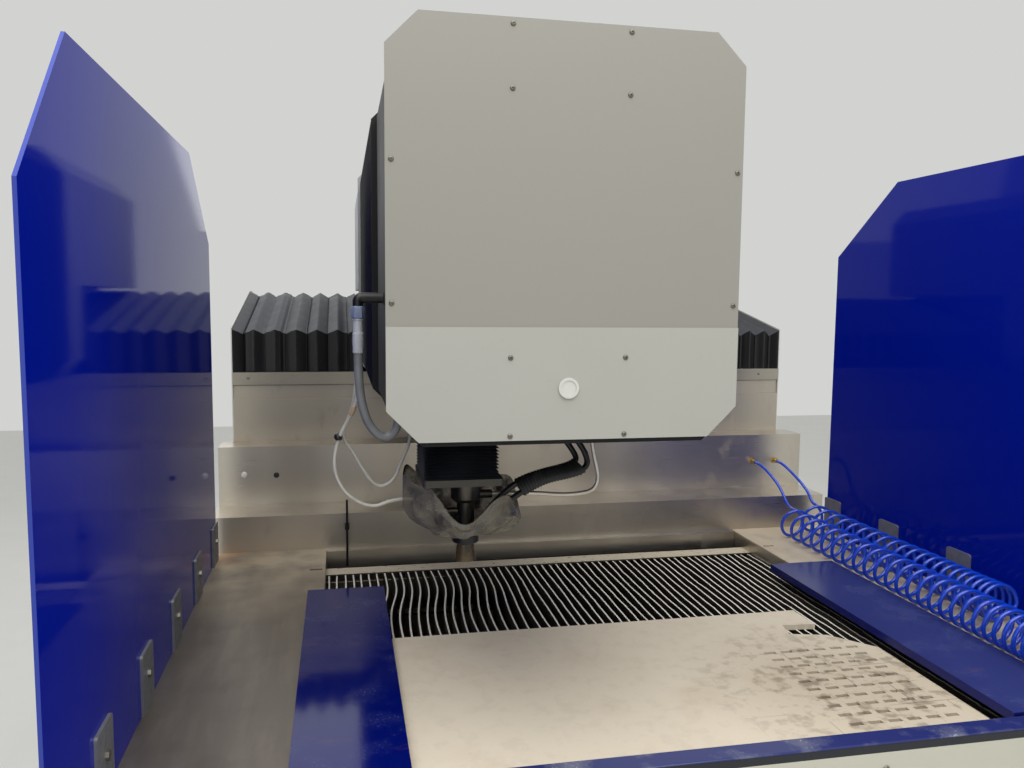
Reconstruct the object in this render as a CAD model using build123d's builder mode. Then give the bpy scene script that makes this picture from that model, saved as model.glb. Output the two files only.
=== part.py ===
"""A compact cantilever waterjet cutting machine: a slatted water tank between two steel decks, blue side
guards, a stepped stainless rear splash, an X beam under pleated bellows, a Y arm with an octagonal bellows
and front plate, and a Z axis that carries the cutting head.

Millimetres, +Z up, X to the operator's right, Y away from the operator. The origin is on the floor, at the
middle of the machine's outer box. Most places are measured from the middle of the bed's rear edge, at the
height of the deck's top, and at() turns such a place into the model's frame.
"""

import os
from math import radians, sqrt, tan

from build123d import *

# Where the machine stands, and its reach in front of and behind the bed's rear edge
DECK_HEIGHT = 900.0
FRONT_REACH = 1407.0
REAR_REACH = 900.0
REAR_EDGE_Y = (FRONT_REACH - REAR_REACH) / 2

# Bed, tank and decks
BED_WIDTH = 1235.0
BED_DEPTH = 1211.0
TANK_WALL = 5.0
TANK_DEPTH = 700.0
DECK_SHEET = 5.0
DECK_SLOT = (34.0, 12.0)
DECK_SLOT_IN = 24.0
DECK_SLOT_Y = -187.0
DECK_EDGE = 907.0
DECK_FLANGE = 45.0
RAIL_WIDTH = 38.0
RAIL_FACE = 16.0
PANEL_SHEET = 3.0

# Frame, columns and feet
TUBE = 60.0
SKID_WIDTH = 80.0
SKID_HEIGHT = 100.0
SKID_X = 840.0
CROSS_HEIGHT = 40.0
FOOT_HEIGHT = DECK_HEIGHT - TANK_DEPTH - CROSS_HEIGHT - SKID_HEIGHT
FOOT_PAD_R = 45.0
FOOT_PAD_H = 14.0
FOOT_STEM_R = 13.0
FOOT_Y = (-1180.0, -300.0, 800.0)
POST_X = 850.0
REAR_POST_Y = (-640.0, -63.0)
COLUMN_X = 770.0
COLUMN_WIDTH = 220.0
COLUMN_Y = (420.0, 720.0)
COLUMN_FLANGE = 20.0
COLUMN_WALL = 12.0
ANCHOR_X = 755.0
ANCHOR_Y = (-1100.0, 700.0)
ANCHOR_HOLE_R = 9.0
ANCHOR_PLATE = 12.0

# Slats, their combs and the board that lies on them
SLAT_PITCH = 21.0
SLAT_COUNT = 59
SLAT_THICK = 4.0
SLAT_HEIGHT = 70.0
SLAT_TOP = -40.0
SLAT_REAR = -95.0
SLAT_FRONT = -1205.0
BENT_SLATS = 9
BENT_BY = 5.0
BEND_SHAPE = ((-760.0, 0.2), (-600.0, 0.8), (-470.0, 1.0), (-350.0, 0.1), (-260.0, -0.7), (-180.0, -0.5))
COMB_THICK = 6.0
COMB_GAP = 0.5
COMB_LOW = -150.0
COMB_HIGH = -60.0
COMB_SHELF = 40.0
COMB_INSET = 24.0
STRIP_SHEET = 3.0
STRIP_Y = (SLAT_REAR - 30, SLAT_REAR + 25)
BOARD_THICK = 12.0
BOARD_X = (-470.0, 548.0)
BOARD_Y = (-1200.0, -612.0)
CELL_SLOT = (26.0, 10.0)
CELL_STEP = (38.0, 34.0)
CELL_COUNT = (6, 11)
CELL_MIDDLE = (398.0, -1000.0)

# Blue splash plates over the bed's sides
SPLASH_SHEET = 5.0
SPLASH_LIP = 12.0
SPLASH_LEFT_X = (-656.0, -475.0)
SPLASH_RIGHT_X = (555.0, 735.0)
SPLASH_Y = (-1208.0, -362.0)

# Side guards, the tabs that carry them and their bolts
GUARD_SHEET = 5.0
GUARD_TOP = 1032.0
GUARD_REAR = -56.0
GUARD_REAR_CHAMFER = (266.0, 189.0)
GUARD_FRONT_CHAMFER = (189.0, 204.0)
GUARD_FOOT_CHAMFER = (90.0, 105.0)
GUARD_LOW = -45.0
TAB_SHEET = 5.0
TAB_WIDTH = 80.0
TAB_HEIGHT = 105.0
TAB_FIRST = -90.0
TAB_PITCH = 272.0
TAB_COUNT = 5
TAB_BOLT_Z = 60.0
BOLT_R = 4.0
BOLT_HOLE_R = 4.5
BOLT_HEAD_R = 7.5
BOLT_HEAD_H = 5.0

# Stepped rear splash of folded stainless sheet, with what is fixed in it
SPLASH_WIDTH = 1850.0
REAR_SHEET = 2.0
LEDGE_HEIGHT = 100.0
LEDGE_DEPTH = 148.0
REAR_TOP = 272.0
APRON_OUT = 20.0
APRON_TOP = -3.0
APRON_LOW = -50.0
PANEL_HOLE_X = -762.0
PANEL_BOLT_X = -852.0
FITTING_X = (754.0, 833.0)
FITTING_Z = 186.0
FITTING_R = 6.5
FITTING_LENGTH = 22.0
FITTING_NUT_R = 10.0

# X beam with its cover, caps and rails
BEAM_HALF = 892.0
BEAM_Y = (290.0, 860.0)
BEAM_Z = (252.0, 440.0)
BEAM_WALL = 12.0
COVER_Y = 252.0
COVER_SHEET = 2.0
COVER_BAND_Z = 399.0
COVER_BAND_STEP = 4.0
CAP_TOP = 482.0
CAP_LIP = 38.0
CAP_WIDTH = 52.0
LINEAR_RAIL_W = 34.0
LINEAR_RAIL_H = 28.0
X_RAIL_Y = (345.0, 805.0)
MAGNET_W = 90.0
MAGNET_H = 10.0
RUN_GAP = 0.5

# Pleated covers of the X beam
X_BELLOWS_Y = (254.0, 812.0, 892.0)
X_BELLOWS_Z = (CAP_TOP + 1.0, 611.0, 727.0)
X_PLEAT_LEG = 35.0
LEFT_PLEATS = 20
RIGHT_PLEATS = 18
LOOSE_PLEATS = 6
LOOSE_REACH = 372.0
BELLOWS_WALL = 1.5
END_FRAME = 3.0
SEAT_GAP = 0.3

# Carriage that runs on the beam
ARM_X = -230.0
NECK_HALF = 170.0
NECK_Y = (239.0, 892.0)
NECK_WALL = 20.0
SADDLE_Z = (490.0, 530.0)
GUIDE_Z = (735.0, 765.0)
BLOCK_LENGTH = 100.0
BLOCK_WIDTH = 70.0
BLOCK_HEIGHT = 40.0
X_BLOCK_SPAN = 120.0
Y_BLOCK_Y = (300.0, 600.0)
Y_RAIL_SPAN = 100.0
HOUSING_HALF = 285.0
HOUSING_Z = (470.0, 1100.0)
HOUSING_CHAMFER = 56.0
HOUSING_SHEET = 3.0
HOUSING_FRONT = 118.0
HOUSING_STEP_Y = 239.0
HOUSING_STEP_Z = 737.0
FLANGE_SHEET = 6.0
FLANGE_OUT = 5.0
FLANGE_IN = 40.0

# Y arm: ram, bellows, head housing and front plates
RAM_HALF = 150.0
RAM_Z = (811.0, 1031.0)
RAM_Y = (-800.0, 850.0)
RAM_WALL = 12.0
ARM_HALF = 273.0
ARM_Z = (482.0, 1088.0)
ARM_CHAMFER = 50.0
Y_BELLOWS_OUT = 10.0
Y_PLEATS = 32
Y_PLEAT_LEG = 20.0
HEAD_HOUSING_Y = (-1146.0, -757.0)
PLATE_Y = -1146.0
PLATE_HALF = 278.0
PLATE_Z = (489.0, 1114.0)
PLATE_CHAMFER = 48.0
PLATE_SHEET = 2.5
PLATE_SEAM = 662.0
PLATE_LAP = 18.0
PLUG_Z = 569.0
PLUG_R = 16.0
PLUG_PROUD = 3.0
SCREW_R = 3.0
SCREW_HEAD_R = 5.0
SCREW_HEAD_H = 2.5
SCREW_X = 91.0
SCREW_SIDE_X = 269.0

# Z axis
Z_AXIS_X = -374.0
Z_AXIS_Y = -930.0
Z_RAIL_SPAN = 45.0
Z_RAIL = (20.0, 18.0)
Z_RAIL_Z = (505.0, 1050.0)
Z_SLIDE_Z = (700.0, 880.0)
Z_SLIDE_HALF = 75.0
Z_SLIDE_SHEET = 20.0
Z_COLUMN = 80.0
Z_COLUMN_TOP = 800.0
Z_ROD_R = 12.0
Z_ROD_TOP = 1065.0
Z_BODY = 70.0
Z_BODY_LOW = 806.0
Z_BELLOWS = (128.0, 150.0)
Z_PLEATS = 14
Z_PLEAT_LEG = 12.5
MOUNT_Z = (388.0, 400.0)
MOUNT_X = (-440.0, -302.0)
MOUNT_Y = (-1008.0, -850.0)

# Cutting head under the mount plate
NOZZLE_X = -353.0
NOZZLE_Y = -903.0
VALVE_R = 27.0
VALVE_LOW = 340.0
NOZZLE_BODY_R = 16.0
NOZZLE_BODY_LOW = 282.0
COLLAR_R = 24.0
COLLAR_LOW = 264.0
TUBE_R = 3.2
CUP_LOW = 231.0
CUP_TOP_R = 15.0
CUP_LOW_R = 20.0
CUP_WALL = 1.5
PORT_Z = 351.0
PORT_R = 8.0
PORT_REACH = 48.0
INLET_Z = 322.0
INLET_R = 6.0
INLET_REACH = 34.0
FEED_Z = 347.0
BAG_LOW = 284.0
BAG_RIM = (382.0, 324.0)
BAG_HALF = (108.0, 86.0)
BAG_SHIFT = -6.0
BAG_WALL = 1.0

# Hoses: each has its diameter here, and its route below is a list of points chosen by eye
COIL_HOSE_D = 9.0
COIL_R = 46.0
COIL_LIFT = 0.5
COIL_X = (757.0, 849.5)
COIL_REAR = (-92.0, -52.0)
COIL_FRONT = (-1140.0, -838.0)
COUPLING_R = 10.0
COUPLING_LENGTH = 58.0
CONDUIT_D = 15.0
WHITE_HOSE_D = 6.0
STEEL_TUBE_D = 8.0
BLACK_HOSE_D = 11.0
CONDUIT_FITTING_R = 9.0
CONDUIT_X = -544.0
CONDUIT_Y = -960.0
CONDUIT_TOP = 705.0
CONDUIT_LOW = 626.0
RETURN_ENTRY = (-448.0, -860.0)
PRESSURE_ENTRY = -118.0
BLACK_ENTRIES = ((-172.0, -880.0), (-148.0, -894.0))
GLAND_WALL = 5.0
GLAND_HEIGHT = 9.0


def at(x, y, z):
    """A place given from the middle of the bed's rear edge and the deck's top, in the model's frame."""
    return (x, REAR_EDGE_Y + y, DECK_HEIGHT + z)


def block(x, y, z, mode=Mode.ADD):
    """A rectangular bar or sheet between two places along each axis."""
    with Locations(at((x[0] + x[1]) / 2, (y[0] + y[1]) / 2, (z[0] + z[1]) / 2)):
        Box(x[1] - x[0], y[1] - y[0], z[1] - z[0], mode=mode)


def both_sides(x, y, z):
    """The same bar on the left and on the right of the machine."""
    block(x, y, z)
    block((-x[1], -x[0]), y, z)


def facing_front(x, y, z=0.0):
    """A plane that faces the operator: its x runs to the right and its y runs up."""
    return Plane(origin=at(x, y, z), x_dir=(1, 0, 0), z_dir=(0, -1, 0))


def facing_right(x, y=0.0, z=0.0):
    """A plane that faces the right: its x runs to the rear and its y runs up."""
    return Plane(origin=at(x, y, z), x_dir=(0, 1, 0), z_dir=(1, 0, 0))


def facing_up(x, y, z):
    """A level plane: its x runs to the right and its y runs to the rear."""
    return Plane(origin=at(x, y, z), x_dir=(1, 0, 0), z_dir=(0, 0, 1))


def octagon(half, z, chamfer, inset=0.0):
    """The corners of an upright octagon: a rectangle with its corners cut off, pulled in by the inset."""
    side, cut = half - inset, chamfer - inset * (2 - sqrt(2))
    low, high = z[0] + inset, z[1] - inset
    return [
        (-side, low + cut),
        (-side + cut, low),
        (side - cut, low),
        (side, low + cut),
        (side, high - cut),
        (side - cut, high),
        (-side + cut, high),
        (-side, high - cut),
    ]


def octagon_ring(half, z, chamfer, y, rim):
    """An octagonal ring or tube of that rim width, between two places along Y."""
    with BuildSketch(facing_front(ARM_X, y[0])) as section:
        Polygon(*octagon(half, z, chamfer), align=None)
        Polygon(*octagon(half, z, chamfer, rim), align=None, mode=Mode.SUBTRACT)
    extrude(section.sketch, amount=-(y[1] - y[0]))


def pleats(plane_at, places, outline, leg, wall):
    """A pleated tube along an axis. Its folds all have legs of one length, so they reach further in where
    they stand closer together. The outline stands at every second place, and the folds are between."""
    for inset, mode in ((0.0, Mode.ADD), (wall, Mode.SUBTRACT)):
        sections = []
        for number, place in enumerate(places):
            pulled_in = inset
            if number % 2:
                pulled_in += sqrt(leg**2 - (place - places[number - 1]) ** 2)
            with BuildSketch(plane_at(place)) as section:
                Polygon(*outline, align=None)
                if pulled_in:
                    offset(amount=-pulled_in, kind=Kind.INTERSECTION, mode=Mode.REPLACE)
            sections.append(section.sketch)
        loft(sections, ruled=True, mode=mode)


def evenly(start, end, steps):
    """Places from start to end, both included, in equal steps."""
    return [start + (end - start) * number / steps for number in range(steps + 1)]


def linear_rail():
    """A profiled linear rail: waisted sides and a wider head, standing on z = 0 of its plane."""
    half = LINEAR_RAIL_W / 2
    waist = half - 5
    return [
        (-half, 0),
        (half, 0),
        (half, 8),
        (waist, 13),
        (waist, 17),
        (half, 22),
        (half, LINEAR_RAIL_H),
        (-half, LINEAR_RAIL_H),
        (-half, 22),
        (-waist, 17),
        (-waist, 13),
        (-half, 8),
    ]


def bend_radii(points):
    """As large an arc at each corner of a hose's route as its two runs allow."""
    radii = []
    for before, corner, after in zip(points, points[1:], points[2:]):
        run_in = Vector(*corner) - Vector(*before)
        run_out = Vector(*after) - Vector(*corner)
        turn = radians(run_in.get_angle(run_out))
        radii.append(0.45 * min(run_in.length, run_out.length) / tan(turn / 2))
    return radii


def hose(name, points, diameter):
    """A hose or tube that follows the route's points, as straight runs joined by tangent arcs."""
    route = [at(*point) for point in points]
    radii = bend_radii(route)
    print(name, "bend radii", [round(radius) for radius in radii])
    with BuildLine() as path:
        FilletPolyline(*route, radius=radii)
    with BuildSketch(Plane(origin=path.line @ 0, z_dir=path.line % 0)) as section:
        Circle(diameter / 2)
    sweep(section.sketch, path=path.line)
    print(name, "length", round(path.wires()[0].length))


def keep(part, name):
    """Names a finished piece and writes it to its own file."""
    part.label = name
    export_step(part, f"parts/{name}.step")
    print(name, round(part.volume))


os.makedirs("parts", exist_ok=True)

BED_HALF = BED_WIDTH / 2
TANK_FRONT = -BED_DEPTH - RAIL_WIDTH
POST_Y = (TANK_FRONT + DECK_SHEET + TUBE / 2, *REAR_POST_Y)
SKID_LOW = FOOT_HEIGHT - DECK_HEIGHT
SKID_TOP = SKID_LOW + SKID_HEIGHT
CROSS_TOP = -TANK_DEPTH
SLAT_X = [SLAT_PITCH * (number - (SLAT_COUNT - 1) / 2) for number in range(SLAT_COUNT)]
TAB_Y = [TAB_FIRST - TAB_PITCH * number for number in range(TAB_COUNT)]

# Tank: an open box of welded plate, with a plugged drain at the rear
with BuildPart() as tank_shell:
    block(
        (-BED_HALF - TANK_WALL, BED_HALF + TANK_WALL),
        (-BED_DEPTH - TANK_WALL, TANK_WALL),
        (-TANK_DEPTH, -DECK_SHEET),
    )
    block(
        (-BED_HALF, BED_HALF),
        (-BED_DEPTH, 0),
        (-TANK_DEPTH + TANK_WALL, 0),
        mode=Mode.SUBTRACT,
    )
    with BuildSketch(facing_front(BED_HALF - 90, TANK_WALL, -TANK_DEPTH + 60)):
        Circle(24)
    extrude(amount=-50)
    with BuildSketch(facing_front(BED_HALF - 90, TANK_WALL + 50, -TANK_DEPTH + 60)):
        RegularPolygon(30, 6)
    extrude(amount=-18)
keep(tank_shell.part, "tank_shell")

# Welded frame: skids, cross tubes, posts with top rails for the decks, and two columns for the beam
with BuildPart() as machine_frame:
    both_sides(
        (SKID_X - SKID_WIDTH / 2, SKID_X + SKID_WIDTH / 2),
        (TANK_FRONT + PANEL_SHEET, BEAM_Y[1]),
        (SKID_LOW, SKID_TOP),
    )
    for cross_y in (-1160, -640, -120, 340, 740):
        block(
            (-SKID_X - SKID_WIDTH / 2, SKID_X + SKID_WIDTH / 2),
            (cross_y - SKID_WIDTH / 2, cross_y + SKID_WIDTH / 2),
            (SKID_TOP, CROSS_TOP),
        )
    for post_y in POST_Y:
        both_sides(
            (POST_X - TUBE / 2, POST_X + TUBE / 2),
            (post_y - TUBE / 2, post_y + TUBE / 2),
            (SKID_TOP, -DECK_SHEET),
        )
    both_sides(
        (POST_X - TUBE / 2, POST_X + TUBE / 2),
        (POST_Y[0] - TUBE / 2, POST_Y[2] + TUBE / 2),
        (-DECK_SHEET - TUBE, -DECK_SHEET),
    )
    block(
        (-POST_X, POST_X),
        (TANK_FRONT + DECK_SHEET, -BED_DEPTH - TANK_WALL - 3),
        (-DECK_SHEET - TUBE, -DECK_SHEET),
    )
    both_sides(
        (COLUMN_X - COLUMN_WIDTH / 2, COLUMN_X + COLUMN_WIDTH / 2),
        COLUMN_Y,
        (CROSS_TOP, BEAM_Z[0]),
    )
    for flange_z in (CROSS_TOP, BEAM_Z[0] - COLUMN_FLANGE):
        both_sides(
            (COLUMN_X - COLUMN_WIDTH / 2 - 60, SKID_X + SKID_WIDTH / 2),
            (BEAM_Y[0] + 10, BEAM_Y[1] - 40),
            (flange_z, flange_z + COLUMN_FLANGE),
        )
    for column_x in (-COLUMN_X, COLUMN_X):
        block(
            (column_x - COLUMN_WIDTH / 2 + COLUMN_WALL, column_x + COLUMN_WIDTH / 2 - COLUMN_WALL),
            (COLUMN_Y[0] + COLUMN_WALL, COLUMN_Y[1] - COLUMN_WALL),
            (CROSS_TOP + COLUMN_FLANGE, BEAM_Z[0] - COLUMN_FLANGE),
            mode=Mode.SUBTRACT,
        )
    for anchor_y in ANCHOR_Y:
        both_sides(
            (ANCHOR_X - 50, SKID_X - SKID_WIDTH / 2),
            (anchor_y - 45, anchor_y + 45),
            (SKID_LOW, SKID_LOW + ANCHOR_PLATE),
        )
    with Locations(*[at(side * ANCHOR_X, y, SKID_LOW) for side in (-1, 1) for y in ANCHOR_Y]):
        Cylinder(ANCHOR_HOLE_R, 3 * ANCHOR_PLATE, mode=Mode.SUBTRACT)
keep(machine_frame.part, "machine_frame")

# Levelling feet: a turned pad and stem under each skid
with BuildPart() as leveling_feet:
    for foot_y in FOOT_Y:
        for foot_x in (-SKID_X, SKID_X):
            with BuildSketch(facing_front(foot_x, foot_y, -DECK_HEIGHT)):
                with BuildLine():
                    Polyline(
                        (0, 0),
                        (FOOT_PAD_R, 0),
                        (FOOT_PAD_R, FOOT_PAD_H / 2),
                        (FOOT_STEM_R + 8, FOOT_PAD_H + 6),
                        (FOOT_STEM_R, FOOT_PAD_H + 6),
                        (FOOT_STEM_R, FOOT_HEIGHT),
                        (0, FOOT_HEIGHT),
                        close=True,
                    )
                make_face()
            revolve(axis=Axis(at(foot_x, foot_y, 0), (0, 0, 1)))
keep(leveling_feet.part, "leveling_feet")

# Decks: folded plate with a lifting slot beside the bed
with BuildPart() as decks:
    for side in (-1, 1):
        with BuildSketch(facing_up(0, 0, -DECK_SHEET)):
            with Locations((side * (BED_HALF + DECK_EDGE) / 2, -BED_DEPTH / 2)):
                Rectangle(DECK_EDGE - BED_HALF, BED_DEPTH)
            with Locations((side * (BED_HALF + DECK_SLOT_IN), DECK_SLOT_Y)):
                SlotOverall(*DECK_SLOT, mode=Mode.SUBTRACT)
        extrude(amount=DECK_SHEET)
    both_sides((DECK_EDGE - DECK_SHEET, DECK_EDGE), (-BED_DEPTH, 0), (-DECK_FLANGE, -DECK_SHEET))
keep(decks.part, "decks")

# Guard tabs: upright plates on the decks' outer edges that carry the guards
with BuildPart() as guard_tabs:
    for tab_x in (-DECK_EDGE, DECK_EDGE - TAB_SHEET):
        for tab_y in TAB_Y:
            with BuildSketch(facing_right(tab_x, tab_y)):
                with Locations((0, TAB_HEIGHT / 2)):
                    RectangleRounded(TAB_WIDTH, TAB_HEIGHT, 6)
                with Locations((0, TAB_HEIGHT / 4)):
                    Rectangle(TAB_WIDTH, TAB_HEIGHT / 2)
                with Locations((0, TAB_BOLT_Z)):
                    Circle(BOLT_HOLE_R, mode=Mode.SUBTRACT)
            extrude(amount=TAB_SHEET)
keep(guard_tabs.part, "guard_tabs")

# Guards: flat sheets with chamfered upper corners, bolted outside the tabs
for name, side in (("left_guard", -1), ("right_guard", 1)):
    with BuildPart() as guard:
        inner_face = side * DECK_EDGE - (GUARD_SHEET if side < 0 else 0)
        with BuildSketch(facing_right(inner_face)):
            with BuildLine():
                Polyline(
                    (GUARD_REAR, GUARD_LOW),
                    (GUARD_REAR, GUARD_TOP - GUARD_REAR_CHAMFER[1]),
                    (GUARD_REAR - GUARD_REAR_CHAMFER[0], GUARD_TOP),
                    (-FRONT_REACH + GUARD_FRONT_CHAMFER[0], GUARD_TOP),
                    (-FRONT_REACH, GUARD_TOP - GUARD_FRONT_CHAMFER[1]),
                    (-FRONT_REACH, GUARD_LOW + GUARD_FOOT_CHAMFER[1]),
                    (-FRONT_REACH + GUARD_FOOT_CHAMFER[0], GUARD_LOW),
                    close=True,
                )
            make_face()
            with Locations(*[(tab_y, TAB_BOLT_Z) for tab_y in TAB_Y]):
                Circle(BOLT_HOLE_R, mode=Mode.SUBTRACT)
        extrude(amount=GUARD_SHEET)
    keep(guard.part, name)

# Guard bolts: a hexagon head inside the tab, a shank through both sheets and a nut outside
with BuildPart() as guard_bolts:
    for side in (-1, 1):
        head_face = side * (DECK_EDGE - TAB_SHEET)
        for tab_y in TAB_Y:
            with BuildSketch(facing_right(head_face, tab_y, TAB_BOLT_Z)):
                RegularPolygon(BOLT_HEAD_R, 6)
            extrude(amount=-side * BOLT_HEAD_H)
            with BuildSketch(facing_right(head_face, tab_y, TAB_BOLT_Z)):
                Circle(BOLT_R)
            extrude(amount=side * (TAB_SHEET + GUARD_SHEET))
            nut_face = side * (DECK_EDGE + GUARD_SHEET)
            with BuildSketch(facing_right(nut_face, tab_y, TAB_BOLT_Z)):
                RegularPolygon(BOLT_HEAD_R, 6)
            extrude(amount=side * BOLT_HEAD_H)
keep(guard_bolts.part, "guard_bolts")

# Front rail: a blue folded angle along the tank's front
with BuildPart() as front_rail:
    with BuildSketch(facing_right(-DECK_EDGE)):
        with BuildLine():
            Polyline(
                (-BED_DEPTH, 0),
                (-BED_DEPTH, -DECK_SHEET),
                (TANK_FRONT + DECK_SHEET, -DECK_SHEET),
                (TANK_FRONT + DECK_SHEET, -RAIL_FACE),
                (TANK_FRONT, -RAIL_FACE),
                (TANK_FRONT, 0),
                close=True,
            )
        make_face()
    extrude(amount=2 * DECK_EDGE)
    nose = front_rail.edges().filter_by(Axis.X).group_by(Axis.Z)[-1].sort_by(Axis.Y)[0]
    fillet(nose, radius=4)
keep(front_rail.part, "front_rail")

# Body panels: pale painted sheets on the frame's front and sides
PANEL_X = POST_X + TUBE / 2
with BuildPart() as body_panels:
    block(
        (-DECK_EDGE, DECK_EDGE),
        (TANK_FRONT, TANK_FRONT + PANEL_SHEET),
        (SKID_TOP, -RAIL_FACE),
    )
    both_sides(
        (PANEL_X, PANEL_X + PANEL_SHEET),
        (TANK_FRONT + 2 * PANEL_SHEET, POST_Y[2] + TUBE / 2),
        (SKID_TOP, -DECK_FLANGE),
    )
keep(body_panels.part, "body_panels")

# Slat combs: an angle across each end of the tank, slotted for the slats, and a strip that holds their
# rear ends down
REAR_COMB = SLAT_REAR - COMB_INSET
FRONT_COMB = SLAT_FRONT + COMB_INSET
SLAT_LOW = SLAT_TOP - SLAT_HEIGHT
with BuildPart() as slat_combs:
    for comb_y, shelf in ((REAR_COMB, -COMB_SHELF), (FRONT_COMB, COMB_SHELF)):
        with BuildSketch(facing_front(0, comb_y + COMB_THICK / 2)):
            with Locations((0, (COMB_LOW + COMB_HIGH) / 2)):
                Rectangle(BED_WIDTH, COMB_HIGH - COMB_LOW)
            with Locations(*[(x, (SLAT_LOW + COMB_HIGH) / 2) for x in SLAT_X]):
                Rectangle(SLAT_THICK + 2 * COMB_GAP, COMB_HIGH - SLAT_LOW, mode=Mode.SUBTRACT)
        extrude(amount=COMB_THICK)
        block(
            (-BED_HALF, BED_HALF),
            (min(comb_y, comb_y + shelf), max(comb_y, comb_y + shelf)),
            (COMB_LOW, COMB_LOW + COMB_THICK),
        )
    block((-BED_HALF, BED_HALF), STRIP_Y, (SLAT_TOP + SEAT_GAP, SLAT_TOP + SEAT_GAP + STRIP_SHEET))
keep(slat_combs.part, "slat_combs")

# Slats: upright strips along Y, of which those nearest the left are bowed by use
with BuildPart() as slats:
    straight = [at(x, (SLAT_FRONT + SLAT_REAR) / 2, (SLAT_LOW + SLAT_TOP) / 2) for x in SLAT_X]
    with Locations(*straight[BENT_SLATS:]):
        Box(SLAT_THICK, SLAT_REAR - SLAT_FRONT, SLAT_HEIGHT)
    for number, slat_x in enumerate(SLAT_X[:BENT_SLATS]):
        bow = BENT_BY * (1 - number / BENT_SLATS) * (1 if number % 3 else -1)
        middle = [(slat_x, SLAT_FRONT), (slat_x, FRONT_COMB + COMB_THICK)]
        middle += [(slat_x + bow * share, y) for y, share in BEND_SHAPE]
        middle += [(slat_x, REAR_COMB - COMB_THICK), (slat_x, SLAT_REAR)]
        right_face = [(x + SLAT_THICK / 2, y) for x, y in middle]
        left_face = [(x - SLAT_THICK / 2, y) for x, y in reversed(middle)]
        with BuildSketch(facing_up(0, 0, SLAT_LOW)):
            Polygon(*right_face, *left_face, align=None)
        extrude(amount=SLAT_HEIGHT)
keep(slats.part, "slats")

# Support board: a sacrificial sheet on the slats, cut away at its right rear and pierced by cell slots
with BuildPart() as support_board:
    with BuildSketch(facing_up(0, 0, SLAT_TOP)):
        with BuildLine():
            Polyline(
                (BOARD_X[0], BOARD_Y[0]),
                (BOARD_X[1], BOARD_Y[0]),
                (BOARD_X[1], BOARD_Y[1] - 230),
                (BOARD_X[1] - 70, BOARD_Y[1] - 150),
                (BOARD_X[1] - 150, BOARD_Y[1] - 130),
                (BOARD_X[1] - 140, BOARD_Y[1] - 80),
                (BOARD_X[1] - 62, BOARD_Y[1] - 86),
                (BOARD_X[1] - 66, BOARD_Y[1] + 4),
                (BOARD_X[0], BOARD_Y[1]),
                close=True,
            )
        make_face()
        with Locations(CELL_MIDDLE):
            with GridLocations(CELL_STEP[0], CELL_STEP[1], *CELL_COUNT):
                Rectangle(*CELL_SLOT, mode=Mode.SUBTRACT)
    extrude(amount=BOARD_THICK)
keep(support_board.part, "support_board")

# Splash plates: blue sheets that lie over the deck's edge and the bed, with a lip turned down
with BuildPart() as splash_plates:
    for plate_x, lip_x in (
        (SPLASH_LEFT_X, SPLASH_LEFT_X[1] - SPLASH_SHEET),
        (SPLASH_RIGHT_X, SPLASH_RIGHT_X[0]),
    ):
        block(plate_x, SPLASH_Y, (0, SPLASH_SHEET))
        block((lip_x, lip_x + SPLASH_SHEET), SPLASH_Y, (-SPLASH_LIP, 0))
keep(splash_plates.part, "splash_plates")

# Rear splash: one stepped sheet behind the bed, with an apron that drips into the tank
with BuildPart() as rear_splash:
    with BuildSketch(facing_right(-SPLASH_WIDTH / 2)):
        with BuildLine():
            Polyline(
                (0, 0),
                (0, LEDGE_HEIGHT),
                (LEDGE_DEPTH, LEDGE_HEIGHT),
                (LEDGE_DEPTH, REAR_TOP),
                (COVER_Y, REAR_TOP),
                (COVER_Y, REAR_TOP - REAR_SHEET),
                (LEDGE_DEPTH + REAR_SHEET, REAR_TOP - REAR_SHEET),
                (LEDGE_DEPTH + REAR_SHEET, LEDGE_HEIGHT - REAR_SHEET),
                (REAR_SHEET, LEDGE_HEIGHT - REAR_SHEET),
                (REAR_SHEET, 0),
                close=True,
            )
        make_face()
    extrude(amount=SPLASH_WIDTH)
    with BuildSketch(facing_right(-BED_HALF + 1)):
        with BuildLine():
            Polyline(
                (TANK_WALL, 0),
                (0, 0),
                (0, APRON_TOP),
                (-APRON_OUT, APRON_TOP),
                (-APRON_OUT, APRON_LOW),
                (-APRON_OUT + REAR_SHEET, APRON_LOW),
                (-APRON_OUT + REAR_SHEET, -DECK_SHEET),
                (TANK_WALL, -DECK_SHEET),
                close=True,
            )
        make_face()
    extrude(amount=BED_WIDTH - 2)
    holes = [(PANEL_HOLE_X, FITTING_R), (FITTING_X[0], FITTING_R), (FITTING_X[1], FITTING_R)]
    for hole_x, hole_r in holes:
        with BuildSketch(facing_front(hole_x, LEDGE_DEPTH - 1, FITTING_Z)):
            Circle(hole_r + RUN_GAP)
        extrude(amount=-(REAR_SHEET + 2), mode=Mode.SUBTRACT)
    with BuildSketch(facing_front(PANEL_BOLT_X, LEDGE_DEPTH, FITTING_Z + 4)):
        Circle(8)
    extrude(amount=4)
keep(rear_splash.part, "rear_splash")

# Bulkhead fittings: brass, each with a nut on the panel's face and a collar that grips its hose
with BuildPart() as hose_fittings:
    for fitting_x in FITTING_X:
        with BuildSketch(facing_front(fitting_x, LEDGE_DEPTH, FITTING_Z)):
            RegularPolygon(FITTING_NUT_R, 6)
        extrude(amount=7)
        with BuildSketch(facing_front(fitting_x, LEDGE_DEPTH, FITTING_Z)):
            Circle(FITTING_R)
        extrude(amount=FITTING_LENGTH)
        with BuildSketch(facing_front(fitting_x, LEDGE_DEPTH, FITTING_Z)):
            Circle(FITTING_R)
        extrude(amount=-FITTING_LENGTH)
keep(hose_fittings.part, "hose_fittings")

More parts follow.
